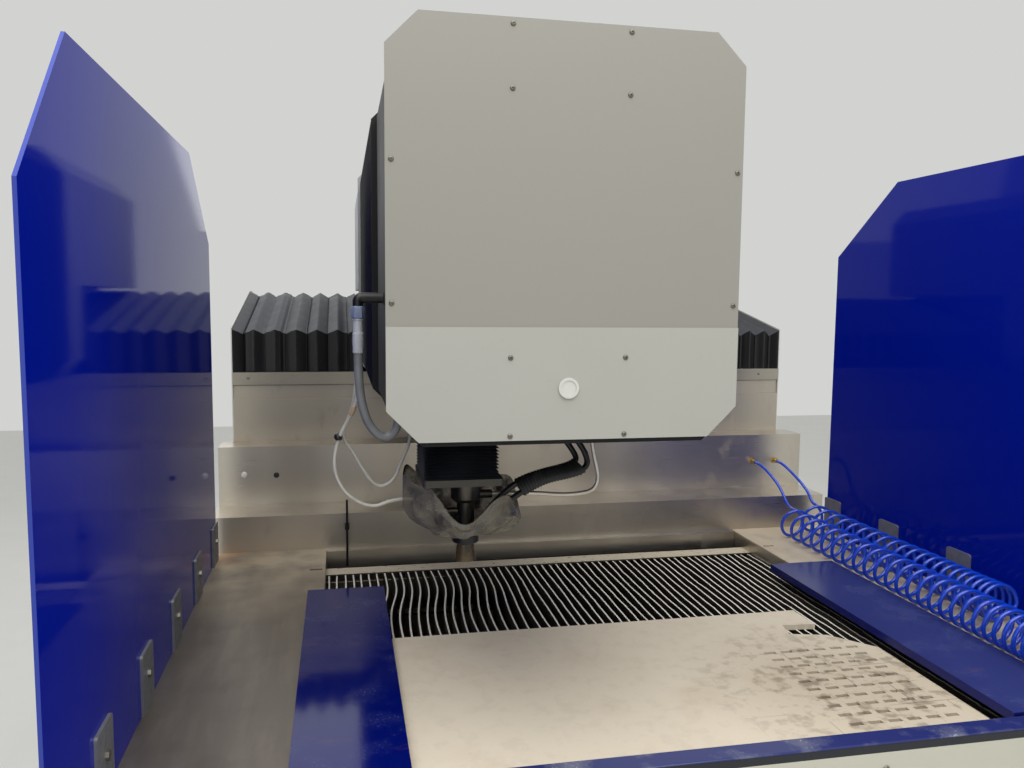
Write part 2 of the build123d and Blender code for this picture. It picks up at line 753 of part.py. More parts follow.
# Level probe: a thin rod in a clip on the lower panel
with BuildPart() as level_probe:
    with Locations(at(-560, -26, 50)):
        Cylinder(3, 190)
    block((-566, -554), (-30, 0), (60, 72))
keep(level_probe.part, "level_probe")

# X beam: a hollow rectangular section with closed ends, and the magnet track on its top
with BuildPart() as x_beam:
    block((-BEAM_HALF, BEAM_HALF), BEAM_Y, BEAM_Z)
    block(
        (-BEAM_HALF + BEAM_WALL, BEAM_HALF - BEAM_WALL),
        (BEAM_Y[0] + BEAM_WALL, BEAM_Y[1] - BEAM_WALL),
        (BEAM_Z[0] + BEAM_WALL, BEAM_Z[1] - BEAM_WALL),
        mode=Mode.SUBTRACT,
    )
    magnet_middle = (BEAM_Y[0] + BEAM_Y[1]) / 2
    block(
        (-BEAM_HALF + 40, BEAM_HALF - 40),
        (magnet_middle - MAGNET_W / 2, magnet_middle + MAGNET_W / 2),
        (BEAM_Z[1], BEAM_Z[1] + MAGNET_H),
    )
keep(x_beam.part, "x_beam")

# Beam cover: a folded sheet in front of the beam, with a shallow band under the cap
with BuildPart() as beam_cover:
    with BuildSketch(facing_right(-BEAM_HALF)):
        with BuildLine():
            Polyline(
                (BEAM_Y[0], BEAM_Z[0]),
                (COVER_Y, BEAM_Z[0]),
                (COVER_Y, COVER_BAND_Z),
                (COVER_Y + COVER_BAND_STEP, COVER_BAND_Z),
                (COVER_Y + COVER_BAND_STEP, BEAM_Z[1] + COVER_SHEET),
                (BEAM_Y[0] + 6, BEAM_Z[1] + COVER_SHEET),
                (BEAM_Y[0] + 6, BEAM_Z[1]),
                (COVER_Y + COVER_BAND_STEP + COVER_SHEET, BEAM_Z[1]),
                (COVER_Y + COVER_BAND_STEP + COVER_SHEET, COVER_BAND_Z - COVER_SHEET),
                (COVER_Y + COVER_SHEET, COVER_BAND_Z - COVER_SHEET),
                (COVER_Y + COVER_SHEET, BEAM_Z[0] + COVER_SHEET),
                (BEAM_Y[0], BEAM_Z[0] + COVER_SHEET),
                close=True,
            )
        make_face()
    extrude(amount=2 * BEAM_HALF)
    with Locations(at(-696, COVER_Y + COVER_BAND_STEP - 1, 410)):
        Cylinder(5, 6, rotation=(90, 0, 0))
keep(beam_cover.part, "beam_cover")

# Beam caps: folded channels along the beam's edges, on which the bellows slide
with BuildPart() as beam_caps:
    for outer_y, inner_y in (
        (COVER_Y - 4, COVER_Y - 4 + CAP_WIDTH),
        (REAR_REACH, REAR_REACH - CAP_WIDTH),
    ):
        inward = 1 if inner_y > outer_y else -1
        with BuildSketch(facing_right(-BEAM_HALF)):
            with BuildLine():
                Polyline(
                    (outer_y, CAP_TOP - CAP_LIP),
                    (outer_y, CAP_TOP),
                    (inner_y, CAP_TOP),
                    (inner_y, BEAM_Z[1]),
                    (inner_y - inward * COVER_SHEET, BEAM_Z[1]),
                    (inner_y - inward * COVER_SHEET, CAP_TOP - COVER_SHEET),
                    (outer_y + inward * COVER_SHEET, CAP_TOP - COVER_SHEET),
                    (outer_y + inward * COVER_SHEET, CAP_TOP - CAP_LIP),
                    close=True,
                )
            make_face()
        extrude(amount=2 * BEAM_HALF)
keep(beam_caps.part, "beam_caps")

# X rails on the beam's top
with BuildPart() as x_rails:
    for rail_y in X_RAIL_Y:
        with BuildSketch(facing_right(-BEAM_HALF + 22, rail_y, BEAM_Z[1])):
            Polygon(*linear_rail(), align=None)
        extrude(amount=2 * (BEAM_HALF - 22))
keep(x_rails.part, "x_rails")

# End frames that close the beam's ends and hold the outer ends of the X bellows
with BuildPart() as bellows_end_frames:
    for side in (-1, 1):
        low, high = BEAM_HALF, BEAM_HALF + END_FRAME
        with BuildSketch(facing_right(side * (low if side > 0 else high))):
            with BuildLine():
                Polyline(
                    (COVER_Y, BEAM_Z[0]),
                    (COVER_Y, X_BELLOWS_Z[1] + 4),
                    (X_BELLOWS_Y[1], X_BELLOWS_Z[2] + 4),
                    (REAR_REACH, X_BELLOWS_Z[2] + 4),
                    (REAR_REACH, BEAM_Z[0]),
                    close=True,
                )
            make_face()
        extrude(amount=END_FRAME)
keep(bellows_end_frames.part, "bellows_end_frames")

# X bellows: pleated covers with a sloping top, from each end frame to the carriage
X_OUTLINE = [
    (X_BELLOWS_Y[0], X_BELLOWS_Z[0]),
    (X_BELLOWS_Y[0], X_BELLOWS_Z[1]),
    (X_BELLOWS_Y[1], X_BELLOWS_Z[2]),
    (X_BELLOWS_Y[2], X_BELLOWS_Z[2]),
    (X_BELLOWS_Y[2], X_BELLOWS_Z[0]),
]
LEFT_END = -BEAM_HALF + SEAT_GAP
LEFT_CARRIAGE = ARM_X - NECK_HALF - SEAT_GAP
RIGHT_CARRIAGE = ARM_X + NECK_HALF + SEAT_GAP
RIGHT_END = BEAM_HALF - SEAT_GAP
left_places = evenly(LEFT_END, LEFT_END + LOOSE_REACH, 2 * LOOSE_PLEATS)
left_places += evenly(left_places[-1], LEFT_CARRIAGE, 2 * (LEFT_PLEATS - LOOSE_PLEATS))[1:]
with BuildPart() as x_bellows_left:
    pleats(facing_right, left_places, X_OUTLINE, X_PLEAT_LEG, BELLOWS_WALL)
keep(x_bellows_left.part, "x_bellows_left")

right_places = evenly(RIGHT_CARRIAGE, RIGHT_END, 2 * RIGHT_PLEATS)
with BuildPart() as x_bellows_right:
    pleats(facing_right, right_places, X_OUTLINE, X_PLEAT_LEG, BELLOWS_WALL)
keep(x_bellows_right.part, "x_bellows_right")

# X bearing blocks: four blocks that wrap the rails under the saddle
BLOCK_X = (ARM_X - X_BLOCK_SPAN, ARM_X + X_BLOCK_SPAN)
with BuildPart() as x_bearing_blocks:
    for block_x in BLOCK_X:
        for rail_y in X_RAIL_Y:
            with BuildSketch(facing_right(block_x - BLOCK_LENGTH / 2, rail_y, BEAM_Z[1])):
                with Locations((0, SADDLE_Z[0] - BEAM_Z[1] - BLOCK_HEIGHT / 2)):
                    Rectangle(BLOCK_WIDTH, BLOCK_HEIGHT)
                with Locations((0, LINEAR_RAIL_H / 2)):
                    Rectangle(
                        LINEAR_RAIL_W + 2 * RUN_GAP, LINEAR_RAIL_H + 2 * RUN_GAP, mode=Mode.SUBTRACT
                    )
            extrude(amount=BLOCK_LENGTH)
keep(x_bearing_blocks.part, "x_bearing_blocks")

# X motor: the coil unit of a linear motor, over the magnet track
with BuildPart() as x_motor:
    block(
        (ARM_X - 140, ARM_X + 140),
        (magnet_middle - MAGNET_W / 2, magnet_middle + MAGNET_W / 2),
        (BEAM_Z[1] + MAGNET_H + 1.5, SADDLE_Z[0]),
    )
keep(x_motor.part, "x_motor")

# Carriage body: a welded box from the saddle up to the guide deck of the Y axis
NECK_X = (ARM_X - NECK_HALF, ARM_X + NECK_HALF)
with BuildPart() as carriage_body:
    block(NECK_X, NECK_Y, (SADDLE_Z[0], GUIDE_Z[1]))
    block(
        (NECK_X[0] + NECK_WALL, NECK_X[1] - NECK_WALL),
        (NECK_Y[0] + NECK_WALL, NECK_Y[1]),
        (SADDLE_Z[1], GUIDE_Z[0]),
        mode=Mode.SUBTRACT,
    )
keep(carriage_body.part, "carriage_body")

# Y bearing blocks on the guide deck, open upwards for the ram's rails
RAIL_BOTTOM = RAM_Z[0] - LINEAR_RAIL_H
RAIL_X = (ARM_X - Y_RAIL_SPAN, ARM_X + Y_RAIL_SPAN)
with BuildPart() as y_bearing_blocks:
    for block_y in Y_BLOCK_Y:
        for rail_x in RAIL_X:
            with BuildSketch(facing_front(rail_x, block_y - BLOCK_LENGTH / 2)):
                with Locations((0, GUIDE_Z[1] + BLOCK_HEIGHT / 2)):
                    Rectangle(BLOCK_WIDTH, BLOCK_HEIGHT)
                with Locations((0, RAIL_BOTTOM + LINEAR_RAIL_H / 2)):
                    Rectangle(
                        LINEAR_RAIL_W + 2 * RUN_GAP, LINEAR_RAIL_H + 2 * RUN_GAP, mode=Mode.SUBTRACT
                    )
            extrude(amount=-BLOCK_LENGTH)
keep(y_bearing_blocks.part, "y_bearing_blocks")

# Y motor: the coil unit under the ram's magnet track
with BuildPart() as y_motor:
    block(
        (ARM_X - MAGNET_W / 2, ARM_X + MAGNET_W / 2),
        (Y_BLOCK_Y[0] + 70, Y_BLOCK_Y[1] - 70),
        (GUIDE_Z[1], RAM_Z[0] - MAGNET_H - 1.5),
    )
keep(y_motor.part, "y_motor")

# Carriage housing: an octagonal sheet cover round the ram's guide, with the bellows' flange in front,
# stepped up behind so that it passes over the beam and its bellows
with BuildPart() as carriage_housing:
    octagon_ring(
        HOUSING_HALF, HOUSING_Z, HOUSING_CHAMFER, (HOUSING_FRONT, REAR_REACH), HOUSING_SHEET
    )
    block(
        (ARM_X - HOUSING_HALF, ARM_X + HOUSING_HALF),
        (HOUSING_STEP_Y, REAR_REACH),
        (HOUSING_Z[0], HOUSING_STEP_Z),
        mode=Mode.SUBTRACT,
    )
    for shelf_x in (
        (ARM_X - HOUSING_HALF, NECK_X[0]),
        (NECK_X[1], ARM_X + HOUSING_HALF),
    ):
        block(
            shelf_x,
            (HOUSING_STEP_Y - HOUSING_SHEET, REAR_REACH),
            (HOUSING_STEP_Z, HOUSING_STEP_Z + HOUSING_SHEET),
        )
    with BuildSketch(facing_front(ARM_X, HOUSING_STEP_Y - HOUSING_SHEET)):
        Polygon(*octagon(HOUSING_HALF, HOUSING_Z, HOUSING_CHAMFER), align=None)
        with Locations((0, HOUSING_Z[1])):
            Rectangle(
                2 * HOUSING_HALF, 2 * (HOUSING_Z[1] - HOUSING_STEP_Z - HOUSING_SHEET), mode=Mode.SUBTRACT
            )
    extrude(amount=-HOUSING_SHEET)
    octagon_ring(
        HOUSING_HALF + FLANGE_OUT,
        (HOUSING_Z[0] - FLANGE_OUT, HOUSING_Z[1] + FLANGE_OUT),
        HOUSING_CHAMFER,
        (HOUSING_FRONT - FLANGE_SHEET, HOUSING_FRONT),
        FLANGE_IN,
    )
    with BuildSketch(facing_front(ARM_X, REAR_REACH - HOUSING_SHEET)):
        Polygon(*octagon(HOUSING_HALF, HOUSING_Z, HOUSING_CHAMFER), align=None)
        with Locations((0, HOUSING_Z[0])):
            Rectangle(
                2 * HOUSING_HALF, 2 * (HOUSING_STEP_Z - HOUSING_Z[0]), mode=Mode.SUBTRACT
            )
        with Locations((0, (RAIL_BOTTOM + RAM_Z[1]) / 2)):
            Rectangle(2 * RAM_HALF + 16, RAM_Z[1] - RAIL_BOTTOM + 16, mode=Mode.SUBTRACT)
    extrude(amount=-HOUSING_SHEET)
keep(carriage_housing.part, "carriage_housing")

# Ram: a hollow beam with a magnet track below and an octagonal bulkhead at its nose
BULKHEAD_Y = RAM_Y[0] - RAM_WALL
with BuildPart() as ram:
    block((ARM_X - RAM_HALF, ARM_X + RAM_HALF), RAM_Y, RAM_Z)
    block(
        (ARM_X - RAM_HALF + RAM_WALL, ARM_X + RAM_HALF - RAM_WALL),
        (RAM_Y[0], RAM_Y[1] - RAM_WALL),
        (RAM_Z[0] + RAM_WALL, RAM_Z[1] - RAM_WALL),
        mode=Mode.SUBTRACT,
    )
    block(
        (ARM_X - MAGNET_W / 2, ARM_X + MAGNET_W / 2),
        (RAM_Y[0] + 20, RAM_Y[1] - 6),
        (RAM_Z[0] - MAGNET_H, RAM_Z[0]),
    )
    with BuildSketch(facing_front(ARM_X, BULKHEAD_Y)):
        Polygon(*octagon(ARM_HALF, ARM_Z, ARM_CHAMFER, HOUSING_SHEET), align=None)
    extrude(amount=-RAM_WALL)
keep(ram.part, "ram")

# Y rails under the ram
with BuildPart() as y_rails:
    for rail_x in RAIL_X:
        with BuildSketch(facing_front(rail_x, RAM_Y[0], RAIL_BOTTOM)):
            Polygon(*linear_rail(), align=None)
        extrude(amount=-(RAM_Y[1] - RAM_Y[0]))
keep(y_rails.part, "y_rails")

# Y bellows: an octagonal pleated tube from the carriage's flange to the head housing
with BuildPart() as y_bellows:
    y_places = evenly(HEAD_HOUSING_Y[1] + SEAT_GAP, HOUSING_FRONT - FLANGE_SHEET - SEAT_GAP, 2 * Y_PLEATS)
    pleats(
        lambda y: facing_front(ARM_X, y),
        y_places,
        octagon(ARM_HALF + Y_BELLOWS_OUT, ARM_Z, ARM_CHAMFER),
        Y_PLEAT_LEG,
        BELLOWS_WALL,
    )
keep(y_bellows.part, "y_bellows")

# Head housing: a black octagonal box round the Z axis, open in front and slotted below, with a wider
# flange behind for the bellows, and a gland round each hose that comes down from it
Z_HALF_X, Z_HALF_Y = Z_BELLOWS[0] / 2, Z_BELLOWS[1] / 2
GLANDS = [
    (*RETURN_ENTRY, WHITE_HOSE_D),
    (PRESSURE_ENTRY, NOZZLE_Y, STEEL_TUBE_D),
    *[(x, y, BLACK_HOSE_D) for x, y in BLACK_ENTRIES],
]
with BuildPart() as head_housing:
    octagon_ring(ARM_HALF, ARM_Z, ARM_CHAMFER, HEAD_HOUSING_Y, HOUSING_SHEET)
    octagon_ring(
        ARM_HALF, ARM_Z, ARM_CHAMFER, (HEAD_HOUSING_Y[0], HEAD_HOUSING_Y[0] + HOUSING_SHEET), 25.0
    )
    octagon_ring(
        ARM_HALF + Y_BELLOWS_OUT,
        ARM_Z,
        ARM_CHAMFER,
        (HEAD_HOUSING_Y[1] - HOUSING_SHEET, HEAD_HOUSING_Y[1]),
        25.0 + Y_BELLOWS_OUT,
    )
    block(
        (Z_AXIS_X - Z_HALF_X + 14, Z_AXIS_X + Z_HALF_X - 14),
        (Z_AXIS_Y - Z_HALF_Y + 14, Z_AXIS_Y + Z_HALF_Y - 14),
        (ARM_Z[0] - 1, ARM_Z[0] + HOUSING_SHEET + 1),
        mode=Mode.SUBTRACT,
    )
    for x, y, hose_d in GLANDS:
        with BuildSketch(facing_up(x, y, ARM_Z[0])):
            Circle(hose_d / 2 + GLAND_WALL)
            Circle(hose_d / 2 + SEAT_GAP, mode=Mode.SUBTRACT)
        extrude(amount=-GLAND_HEIGHT)
keep(head_housing.part, "head_housing")

# Front plates: the upper one is the larger, and the lower one laps over its edge at the seam
SCREW_PLACES = [(side * SCREW_X, z) for side in (-1, 1) for z in (1105, 1013)]
SCREW_PLACES += [(side * SCREW_SIDE_X, z) for side in (-1, 1) for z in (904, 697)]
LOWER_PLACES = [(side * SCREW_X, z) for side in (-1, 1) for z in (616, 496)]
PLATE_OUTLINE = octagon(PLATE_HALF, PLATE_Z, PLATE_CHAMFER)
PLATE_BACK = PLATE_Y
LOWER_BACK = PLATE_Y - PLATE_SHEET
with BuildPart() as front_plate:
    with BuildSketch(facing_front(ARM_X, PLATE_BACK)):
        Polygon(*PLATE_OUTLINE, align=None)
        with Locations((0, PLATE_Z[0])):
            Rectangle(
                2 * PLATE_HALF, 2 * (PLATE_SEAM - PLATE_LAP - PLATE_Z[0]), mode=Mode.SUBTRACT
            )
        with Locations(*SCREW_PLACES):
            Circle(SCREW_R + RUN_GAP, mode=Mode.SUBTRACT)
    extrude(amount=PLATE_SHEET)
keep(front_plate.part, "front_plate")

with BuildPart() as lower_plate:
    with BuildSketch(facing_front(ARM_X, LOWER_BACK)):
        Polygon(*PLATE_OUTLINE, align=None)
        with Locations((0, PLATE_Z[1])):
            Rectangle(2 * PLATE_HALF, 2 * (PLATE_Z[1] - PLATE_SEAM), mode=Mode.SUBTRACT)
        with Locations(*LOWER_PLACES):
            Circle(SCREW_R + RUN_GAP, mode=Mode.SUBTRACT)
        with Locations((0, PLUG_Z)):
            Circle(PLUG_R - 3, mode=Mode.SUBTRACT)
    extrude(amount=PLATE_SHEET)
    with BuildSketch(facing_front(ARM_X, PLATE_BACK)):
        Polygon(*PLATE_OUTLINE, align=None)
        with Locations((0, (PLATE_Z[1] + PLATE_Z[0]) / 2 + 25)):
            Rectangle(2 * PLATE_HALF + 1, PLATE_Z[1] - PLATE_Z[0], mode=Mode.SUBTRACT)
    extrude(amount=PLATE_SHEET)
keep(lower_plate.part, "lower_plate")

# Plate screws: button heads with shanks through the plates
with BuildPart() as plate_screws:
    for places, face_y in ((SCREW_PLACES, PLATE_BACK), (LOWER_PLACES, LOWER_BACK)):
        for screw_x, screw_z in places:
            with BuildSketch(facing_front(ARM_X + screw_x, face_y - PLATE_SHEET, screw_z)):
                Circle(SCREW_HEAD_R)
            extrude(amount=SCREW_HEAD_H)
            with BuildSketch(facing_front(ARM_X + screw_x, face_y - PLATE_SHEET, screw_z)):
                Circle(SCREW_R)
            extrude(amount=-PLATE_SHEET)
keep(plate_screws.part, "plate_screws")

# Plug: a pale round cap in the lower plate, with a shallow dish
with BuildPart() as plate_plug:
    with BuildSketch(facing_front(ARM_X, LOWER_BACK - PLATE_SHEET, PLUG_Z)):
        Circle(PLUG_R)
    extrude(amount=PLUG_PROUD)
    with BuildSketch(facing_front(ARM_X, LOWER_BACK - PLATE_SHEET - PLUG_PROUD, PLUG_Z)):
        Circle(PLUG_R - 4)
    extrude(amount=-1.2, mode=Mode.SUBTRACT)
    with BuildSketch(facing_front(ARM_X, LOWER_BACK - PLATE_SHEET, PLUG_Z)):
        Circle(PLUG_R - 3 - RUN_GAP)
    extrude(amount=-PLATE_SHEET)
keep(plate_plug.part, "plate_plug")

# Z rails on the bulkhead's face
with BuildPart() as z_rails:
    for rail_x in (Z_AXIS_X - Z_RAIL_SPAN, Z_AXIS_X + Z_RAIL_SPAN):
        block(
            (rail_x - Z_RAIL[0] / 2, rail_x + Z_RAIL[0] / 2),
            (BULKHEAD_Y - Z_RAIL[1], BULKHEAD_Y),
            Z_RAIL_Z,
        )
keep(z_rails.part, "z_rails")

# Z actuator: an electric cylinder hung from the bulkhead, bored for its rod
with BuildPart() as z_actuator:
    block(
        (Z_AXIS_X - Z_BODY / 2, Z_AXIS_X + Z_BODY / 2),
        (Z_AXIS_Y - Z_BODY / 2, Z_AXIS_Y + Z_BODY / 2),
        (Z_BODY_LOW, ARM_Z[1] - HOUSING_SHEET),
    )
    block(
        (Z_AXIS_X - Z_BODY / 2, Z_AXIS_X + Z_BODY / 2),
        (Z_AXIS_Y, BULKHEAD_Y),
        (Z_RAIL_Z[1] + 5, ARM_Z[1] - HOUSING_SHEET),
    )
    with BuildSketch(facing_up(Z_AXIS_X, Z_AXIS_Y, Z_BODY_LOW)):
        Circle(Z_ROD_R + RUN_GAP)
    extrude(amount=Z_ROD_TOP + 6 - Z_BODY_LOW, mode=Mode.SUBTRACT)
keep(z_actuator.part, "z_actuator")

# Z slide: blocks on the rails, a plate, the column that comes down through the bellows, and the rod
SLIDE_FACE = BULKHEAD_Y - Z_RAIL[1] - 8
with BuildPart() as z_slide:
    block(
        (Z_AXIS_X - Z_SLIDE_HALF, Z_AXIS_X + Z_SLIDE_HALF),
        (SLIDE_FACE - Z_SLIDE_SHEET, SLIDE_FACE),
        Z_SLIDE_Z,
    )
    for rail_x in (Z_AXIS_X - Z_RAIL_SPAN, Z_AXIS_X + Z_RAIL_SPAN):
        block((rail_x - 24, rail_x + 24), (SLIDE_FACE, BULKHEAD_Y - 5), Z_SLIDE_Z)
        block(
            (rail_x - Z_RAIL[0] / 2 - RUN_GAP, rail_x + Z_RAIL[0] / 2 + RUN_GAP),
            (BULKHEAD_Y - Z_RAIL[1] - RUN_GAP, BULKHEAD_Y),
            Z_SLIDE_Z,
            mode=Mode.SUBTRACT,
        )
    block(
        (Z_AXIS_X - Z_COLUMN / 2, Z_AXIS_X + Z_COLUMN / 2),
        (Z_AXIS_Y - Z_COLUMN / 2, Z_AXIS_Y + Z_COLUMN / 2),
        (MOUNT_Z[1], Z_COLUMN_TOP),
    )
    block(
        (Z_AXIS_X - Z_COLUMN / 2, Z_AXIS_X + Z_COLUMN / 2),
        (Z_AXIS_Y, SLIDE_FACE),
        (Z_SLIDE_Z[0], Z_COLUMN_TOP),
    )
    with BuildSketch(facing_up(Z_AXIS_X, Z_AXIS_Y, Z_COLUMN_TOP)):
        Circle(Z_ROD_R)
    extrude(amount=Z_ROD_TOP - Z_COLUMN_TOP)
keep(z_slide.part, "z_slide")

# Z bellows between the head housing and the mount plate
with BuildPart() as z_bellows:
    z_places = evenly(MOUNT_Z[1] + SEAT_GAP, ARM_Z[0] - SEAT_GAP, 2 * Z_PLEATS)
    z_outline = [
        (-Z_HALF_X, -Z_HALF_Y),
        (Z_HALF_X, -Z_HALF_Y),
        (Z_HALF_X, Z_HALF_Y),
        (-Z_HALF_X, Z_HALF_Y),
    ]
    pleats(
        lambda z: facing_up(Z_AXIS_X, Z_AXIS_Y, z), z_places, z_outline, Z_PLEAT_LEG, BELLOWS_WALL
    )
keep(z_bellows.part, "z_bellows")

# Head mount: the plate under the column
with BuildPart() as head_mount:
    block(MOUNT_X, MOUNT_Y, MOUNT_Z)
    uprights = head_mount.edges().filter_by(Axis.Z)
    fillet(uprights, radius=8)
keep(head_mount.part, "head_mount")

# Valve body: the on and off valve with its air cylinder, water port and abrasive inlet
with BuildPart() as valve_body:
    with BuildSketch(facing_front(NOZZLE_X, NOZZLE_Y)):
        with BuildLine():
            Polyline(
                (0, MOUNT_Z[0]),
                (VALVE_R, MOUNT_Z[0]),
                (VALVE_R, VALVE_LOW + 6),
                (VALVE_R - 6, VALVE_LOW),
                (NOZZLE_BODY_R, VALVE_LOW),
                (NOZZLE_BODY_R, NOZZLE_BODY_LOW),
                (0, NOZZLE_BODY_LOW),
                close=True,
            )
        make_face()
    revolve(axis=Axis(at(NOZZLE_X, NOZZLE_Y, 0), (0, 0, 1)))
    with BuildSketch(facing_right(NOZZLE_X, NOZZLE_Y, PORT_Z)):
        Circle(PORT_R)
    extrude(amount=PORT_REACH)
    with BuildSketch(facing_right(NOZZLE_X, NOZZLE_Y, INLET_Z)):
        Circle(INLET_R)
    extrude(amount=-INLET_REACH)
    with BuildSketch(facing_up(NOZZLE_X, NOZZLE_Y, NOZZLE_BODY_LOW)):
        Circle(TUBE_R + RUN_GAP)
    extrude(amount=20, mode=Mode.SUBTRACT)
keep(valve_body.part, "valve_body")

# Mixing tube: the hard tube that the jet leaves by, held in the nozzle body
with BuildPart() as mixing_tube:
    with BuildSketch(facing_up(NOZZLE_X, NOZZLE_Y, CUP_LOW + 6)):
        Circle(TUBE_R)
        Circle(0.6, mode=Mode.SUBTRACT)
    extrude(amount=NOZZLE_BODY_LOW + 20 - CUP_LOW - 6)
keep(mixing_tube.part, "mixing_tube")

# Nozzle collar: a black ring clamped under the nozzle body
with BuildPart() as nozzle_collar:
    with BuildSketch(facing_up(NOZZLE_X, NOZZLE_Y, COLLAR_LOW)):
        Circle(COLLAR_R)
        Circle(TUBE_R + RUN_GAP, mode=Mode.SUBTRACT)
    extrude(amount=NOZZLE_BODY_LOW - COLLAR_LOW)
    chamfer(nozzle_collar.edges().filter_by(GeomType.CIRCLE).group_by(SortBy.RADIUS)[-1], length=2)
keep(nozzle_collar.part, "nozzle_collar")

# Nozzle cup: a thin translucent skirt that contains the spray
with BuildPart() as nozzle_cup:
    with BuildSketch(facing_front(NOZZLE_X, NOZZLE_Y)):
        with BuildLine():
            Polyline(
                (CUP_TOP_R - 6, COLLAR_LOW),
                (CUP_TOP_R, COLLAR_LOW),
                (CUP_LOW_R, CUP_LOW),
                (CUP_LOW_R - CUP_WALL, CUP_LOW),
                (CUP_TOP_R - CUP_WALL, COLLAR_LOW - CUP_WALL),
                (CUP_TOP_R - 6, COLLAR_LOW - CUP_WALL),
                close=True,
            )
        make_face()
    revolve(axis=Axis(at(NOZZLE_X, NOZZLE_Y, 0), (0, 0, 1)))
keep(nozzle_cup.part, "nozzle_cup")

# Head bag: a clear plastic bag gathered round the head, as an open bowl. Its rim hangs lower at the right,
# where the hoses lie over it, and the feed hose comes through its left side.
RIM_MIDDLE = (NOZZLE_X + BAG_SHIFT, (BAG_RIM[0] + BAG_RIM[1]) / 2)
RIM_RISE = BAG_RIM[1] - BAG_RIM[0]
with BuildPart() as head_bag:
    for inset, mode in ((0.0, Mode.ADD), (BAG_WALL, Mode.SUBTRACT)):
        for z, wide, shift in (
            (BAG_LOW, 0.22, 0),
            (BAG_LOW + 20, 0.78, BAG_SHIFT),
            (BAG_LOW + 50, 0.97, BAG_SHIFT),
            (BAG_RIM[0] + 2, 1.0, BAG_SHIFT),
        ):
            with BuildSketch(facing_up(NOZZLE_X + shift, NOZZLE_Y, z + inset)):
                Ellipse(wide * BAG_HALF[0] - inset, wide * BAG_HALF[1] - inset)
        loft(mode=mode)
    with BuildSketch(facing_up(NOZZLE_X, NOZZLE_Y, BAG_LOW)):
        Circle(NOZZLE_BODY_R + RUN_GAP)
    extrude(amount=20, mode=Mode.SUBTRACT)
    with BuildSketch(facing_front(RIM_MIDDLE[0], NOZZLE_Y, RIM_MIDDLE[1])):
        Polygon(
            (-2 * BAG_HALF[0], -RIM_RISE),
            (2 * BAG_HALF[0], RIM_RISE),
            (2 * BAG_HALF[0], 4 * BAG_HALF[1]),
            (-2 * BAG_HALF[0], 4 * BAG_HALF[1]),
            align=None,
        )
    extrude(amount=2 * BAG_HALF[1], both=True, mode=Mode.SUBTRACT)
    with BuildSketch(facing_right(NOZZLE_X - 2 * BAG_HALF[0], NOZZLE_Y, FEED_Z)):
        Circle(WHITE_HOSE_D / 2 + 2)
    extrude(amount=2 * BAG_HALF[0] - VALVE_R, mode=Mode.SUBTRACT)
keep(head_bag.part, "head_bag")

# Conduit fitting: an elbow on the head housing's side, from which the conduit and hoses hang
SIDE_X = ARM_X - ARM_HALF
with BuildPart() as conduit_fitting:
    with BuildSketch(facing_right(SIDE_X, CONDUIT_Y, CONDUIT_TOP)):
        Circle(CONDUIT_FITTING_R)
    extrude(amount=CONDUIT_X - SIDE_X)
    with Locations(at(CONDUIT_X, CONDUIT_Y, CONDUIT_TOP)):
        Sphere(CONDUIT_FITTING_R)
    with BuildSketch(facing_up(CONDUIT_X, CONDUIT_Y, CONDUIT_LOW)):
        Circle(CONDUIT_FITTING_R)
    extrude(amount=CONDUIT_TOP - CONDUIT_LOW)
    block(
        (CONDUIT_X - 14, CONDUIT_X + 14),
        (CONDUIT_Y, CONDUIT_Y + 34),
        (CONDUIT_LOW, CONDUIT_LOW + 16),
    )
keep(conduit_fitting.part, "conduit_fitting")

# Conduit: a short loop from the fitting into the housing's lower left corner
with BuildPart() as conduit:
    hose(
        "conduit",
        [
            (CONDUIT_X, CONDUIT_Y, CONDUIT_LOW),
            (CONDUIT_X, CONDUIT_Y, 576),
            (-540, CONDUIT_Y, 530),
            (-529, CONDUIT_Y, 492),
            (-506, CONDUIT_Y, 466),
            (-482, CONDUIT_Y, 474),
            (-478, CONDUIT_Y, 496),
        ],
        CONDUIT_D,
    )
keep(conduit.part, "conduit")

# Return hose: a white hose that loops down beside the conduit and back up into the housing
HOSE_TOP = CONDUIT_LOW
with BuildPart() as return_hose:
    hose(
        "return_hose",
        [
            (CONDUIT_X - 3, CONDUIT_Y + 26, HOSE_TOP),
            (CONDUIT_X - 3, CONDUIT_Y + 26, 564),
            (-558, CONDUIT_Y + 52, 512),
            (-575, CONDUIT_Y + 70, 464),
            (-554, CONDUIT_Y + 84, 432),
            (-537, CONDUIT_Y + 90, 398),
            (-512, CONDUIT_Y + 94, 360),
            (-480, CONDUIT_Y + 96, 370),
            (-464, CONDUIT_Y + 98, 412),
            (*RETURN_ENTRY, 446),
            (*RETURN_ENTRY, ARM_Z[0]),
        ],
        WHITE_HOSE_D,
    )
keep(return_hose.part, "return_hose")

# Feed hose: a white hose that sweeps down and across to the head's abrasive inlet
with BuildPart() as feed_hose:
    hose(
        "feed_hose",
        [
            (CONDUIT_X + 3, CONDUIT_Y + 16, HOSE_TOP),
            (CONDUIT_X + 3, CONDUIT_Y + 16, 570),
            (-555, CONDUIT_Y + 36, 514),
            (-580, CONDUIT_Y + 54, 460),
            (-589, CONDUIT_Y + 55, 404),
            (-566, CONDUIT_Y + 56, 356),
            (-520, CONDUIT_Y + 57, 332),
            (-486, NOZZLE_Y, FEED_Z),
            (-440, NOZZLE_Y, FEED_Z),
            (-418, NOZZLE_Y, INLET_Z),
            (NOZZLE_X - INLET_REACH, NOZZLE_Y, INLET_Z),
        ],
        WHITE_HOSE_D,
    )
keep(feed_hose.part, "feed_hose")

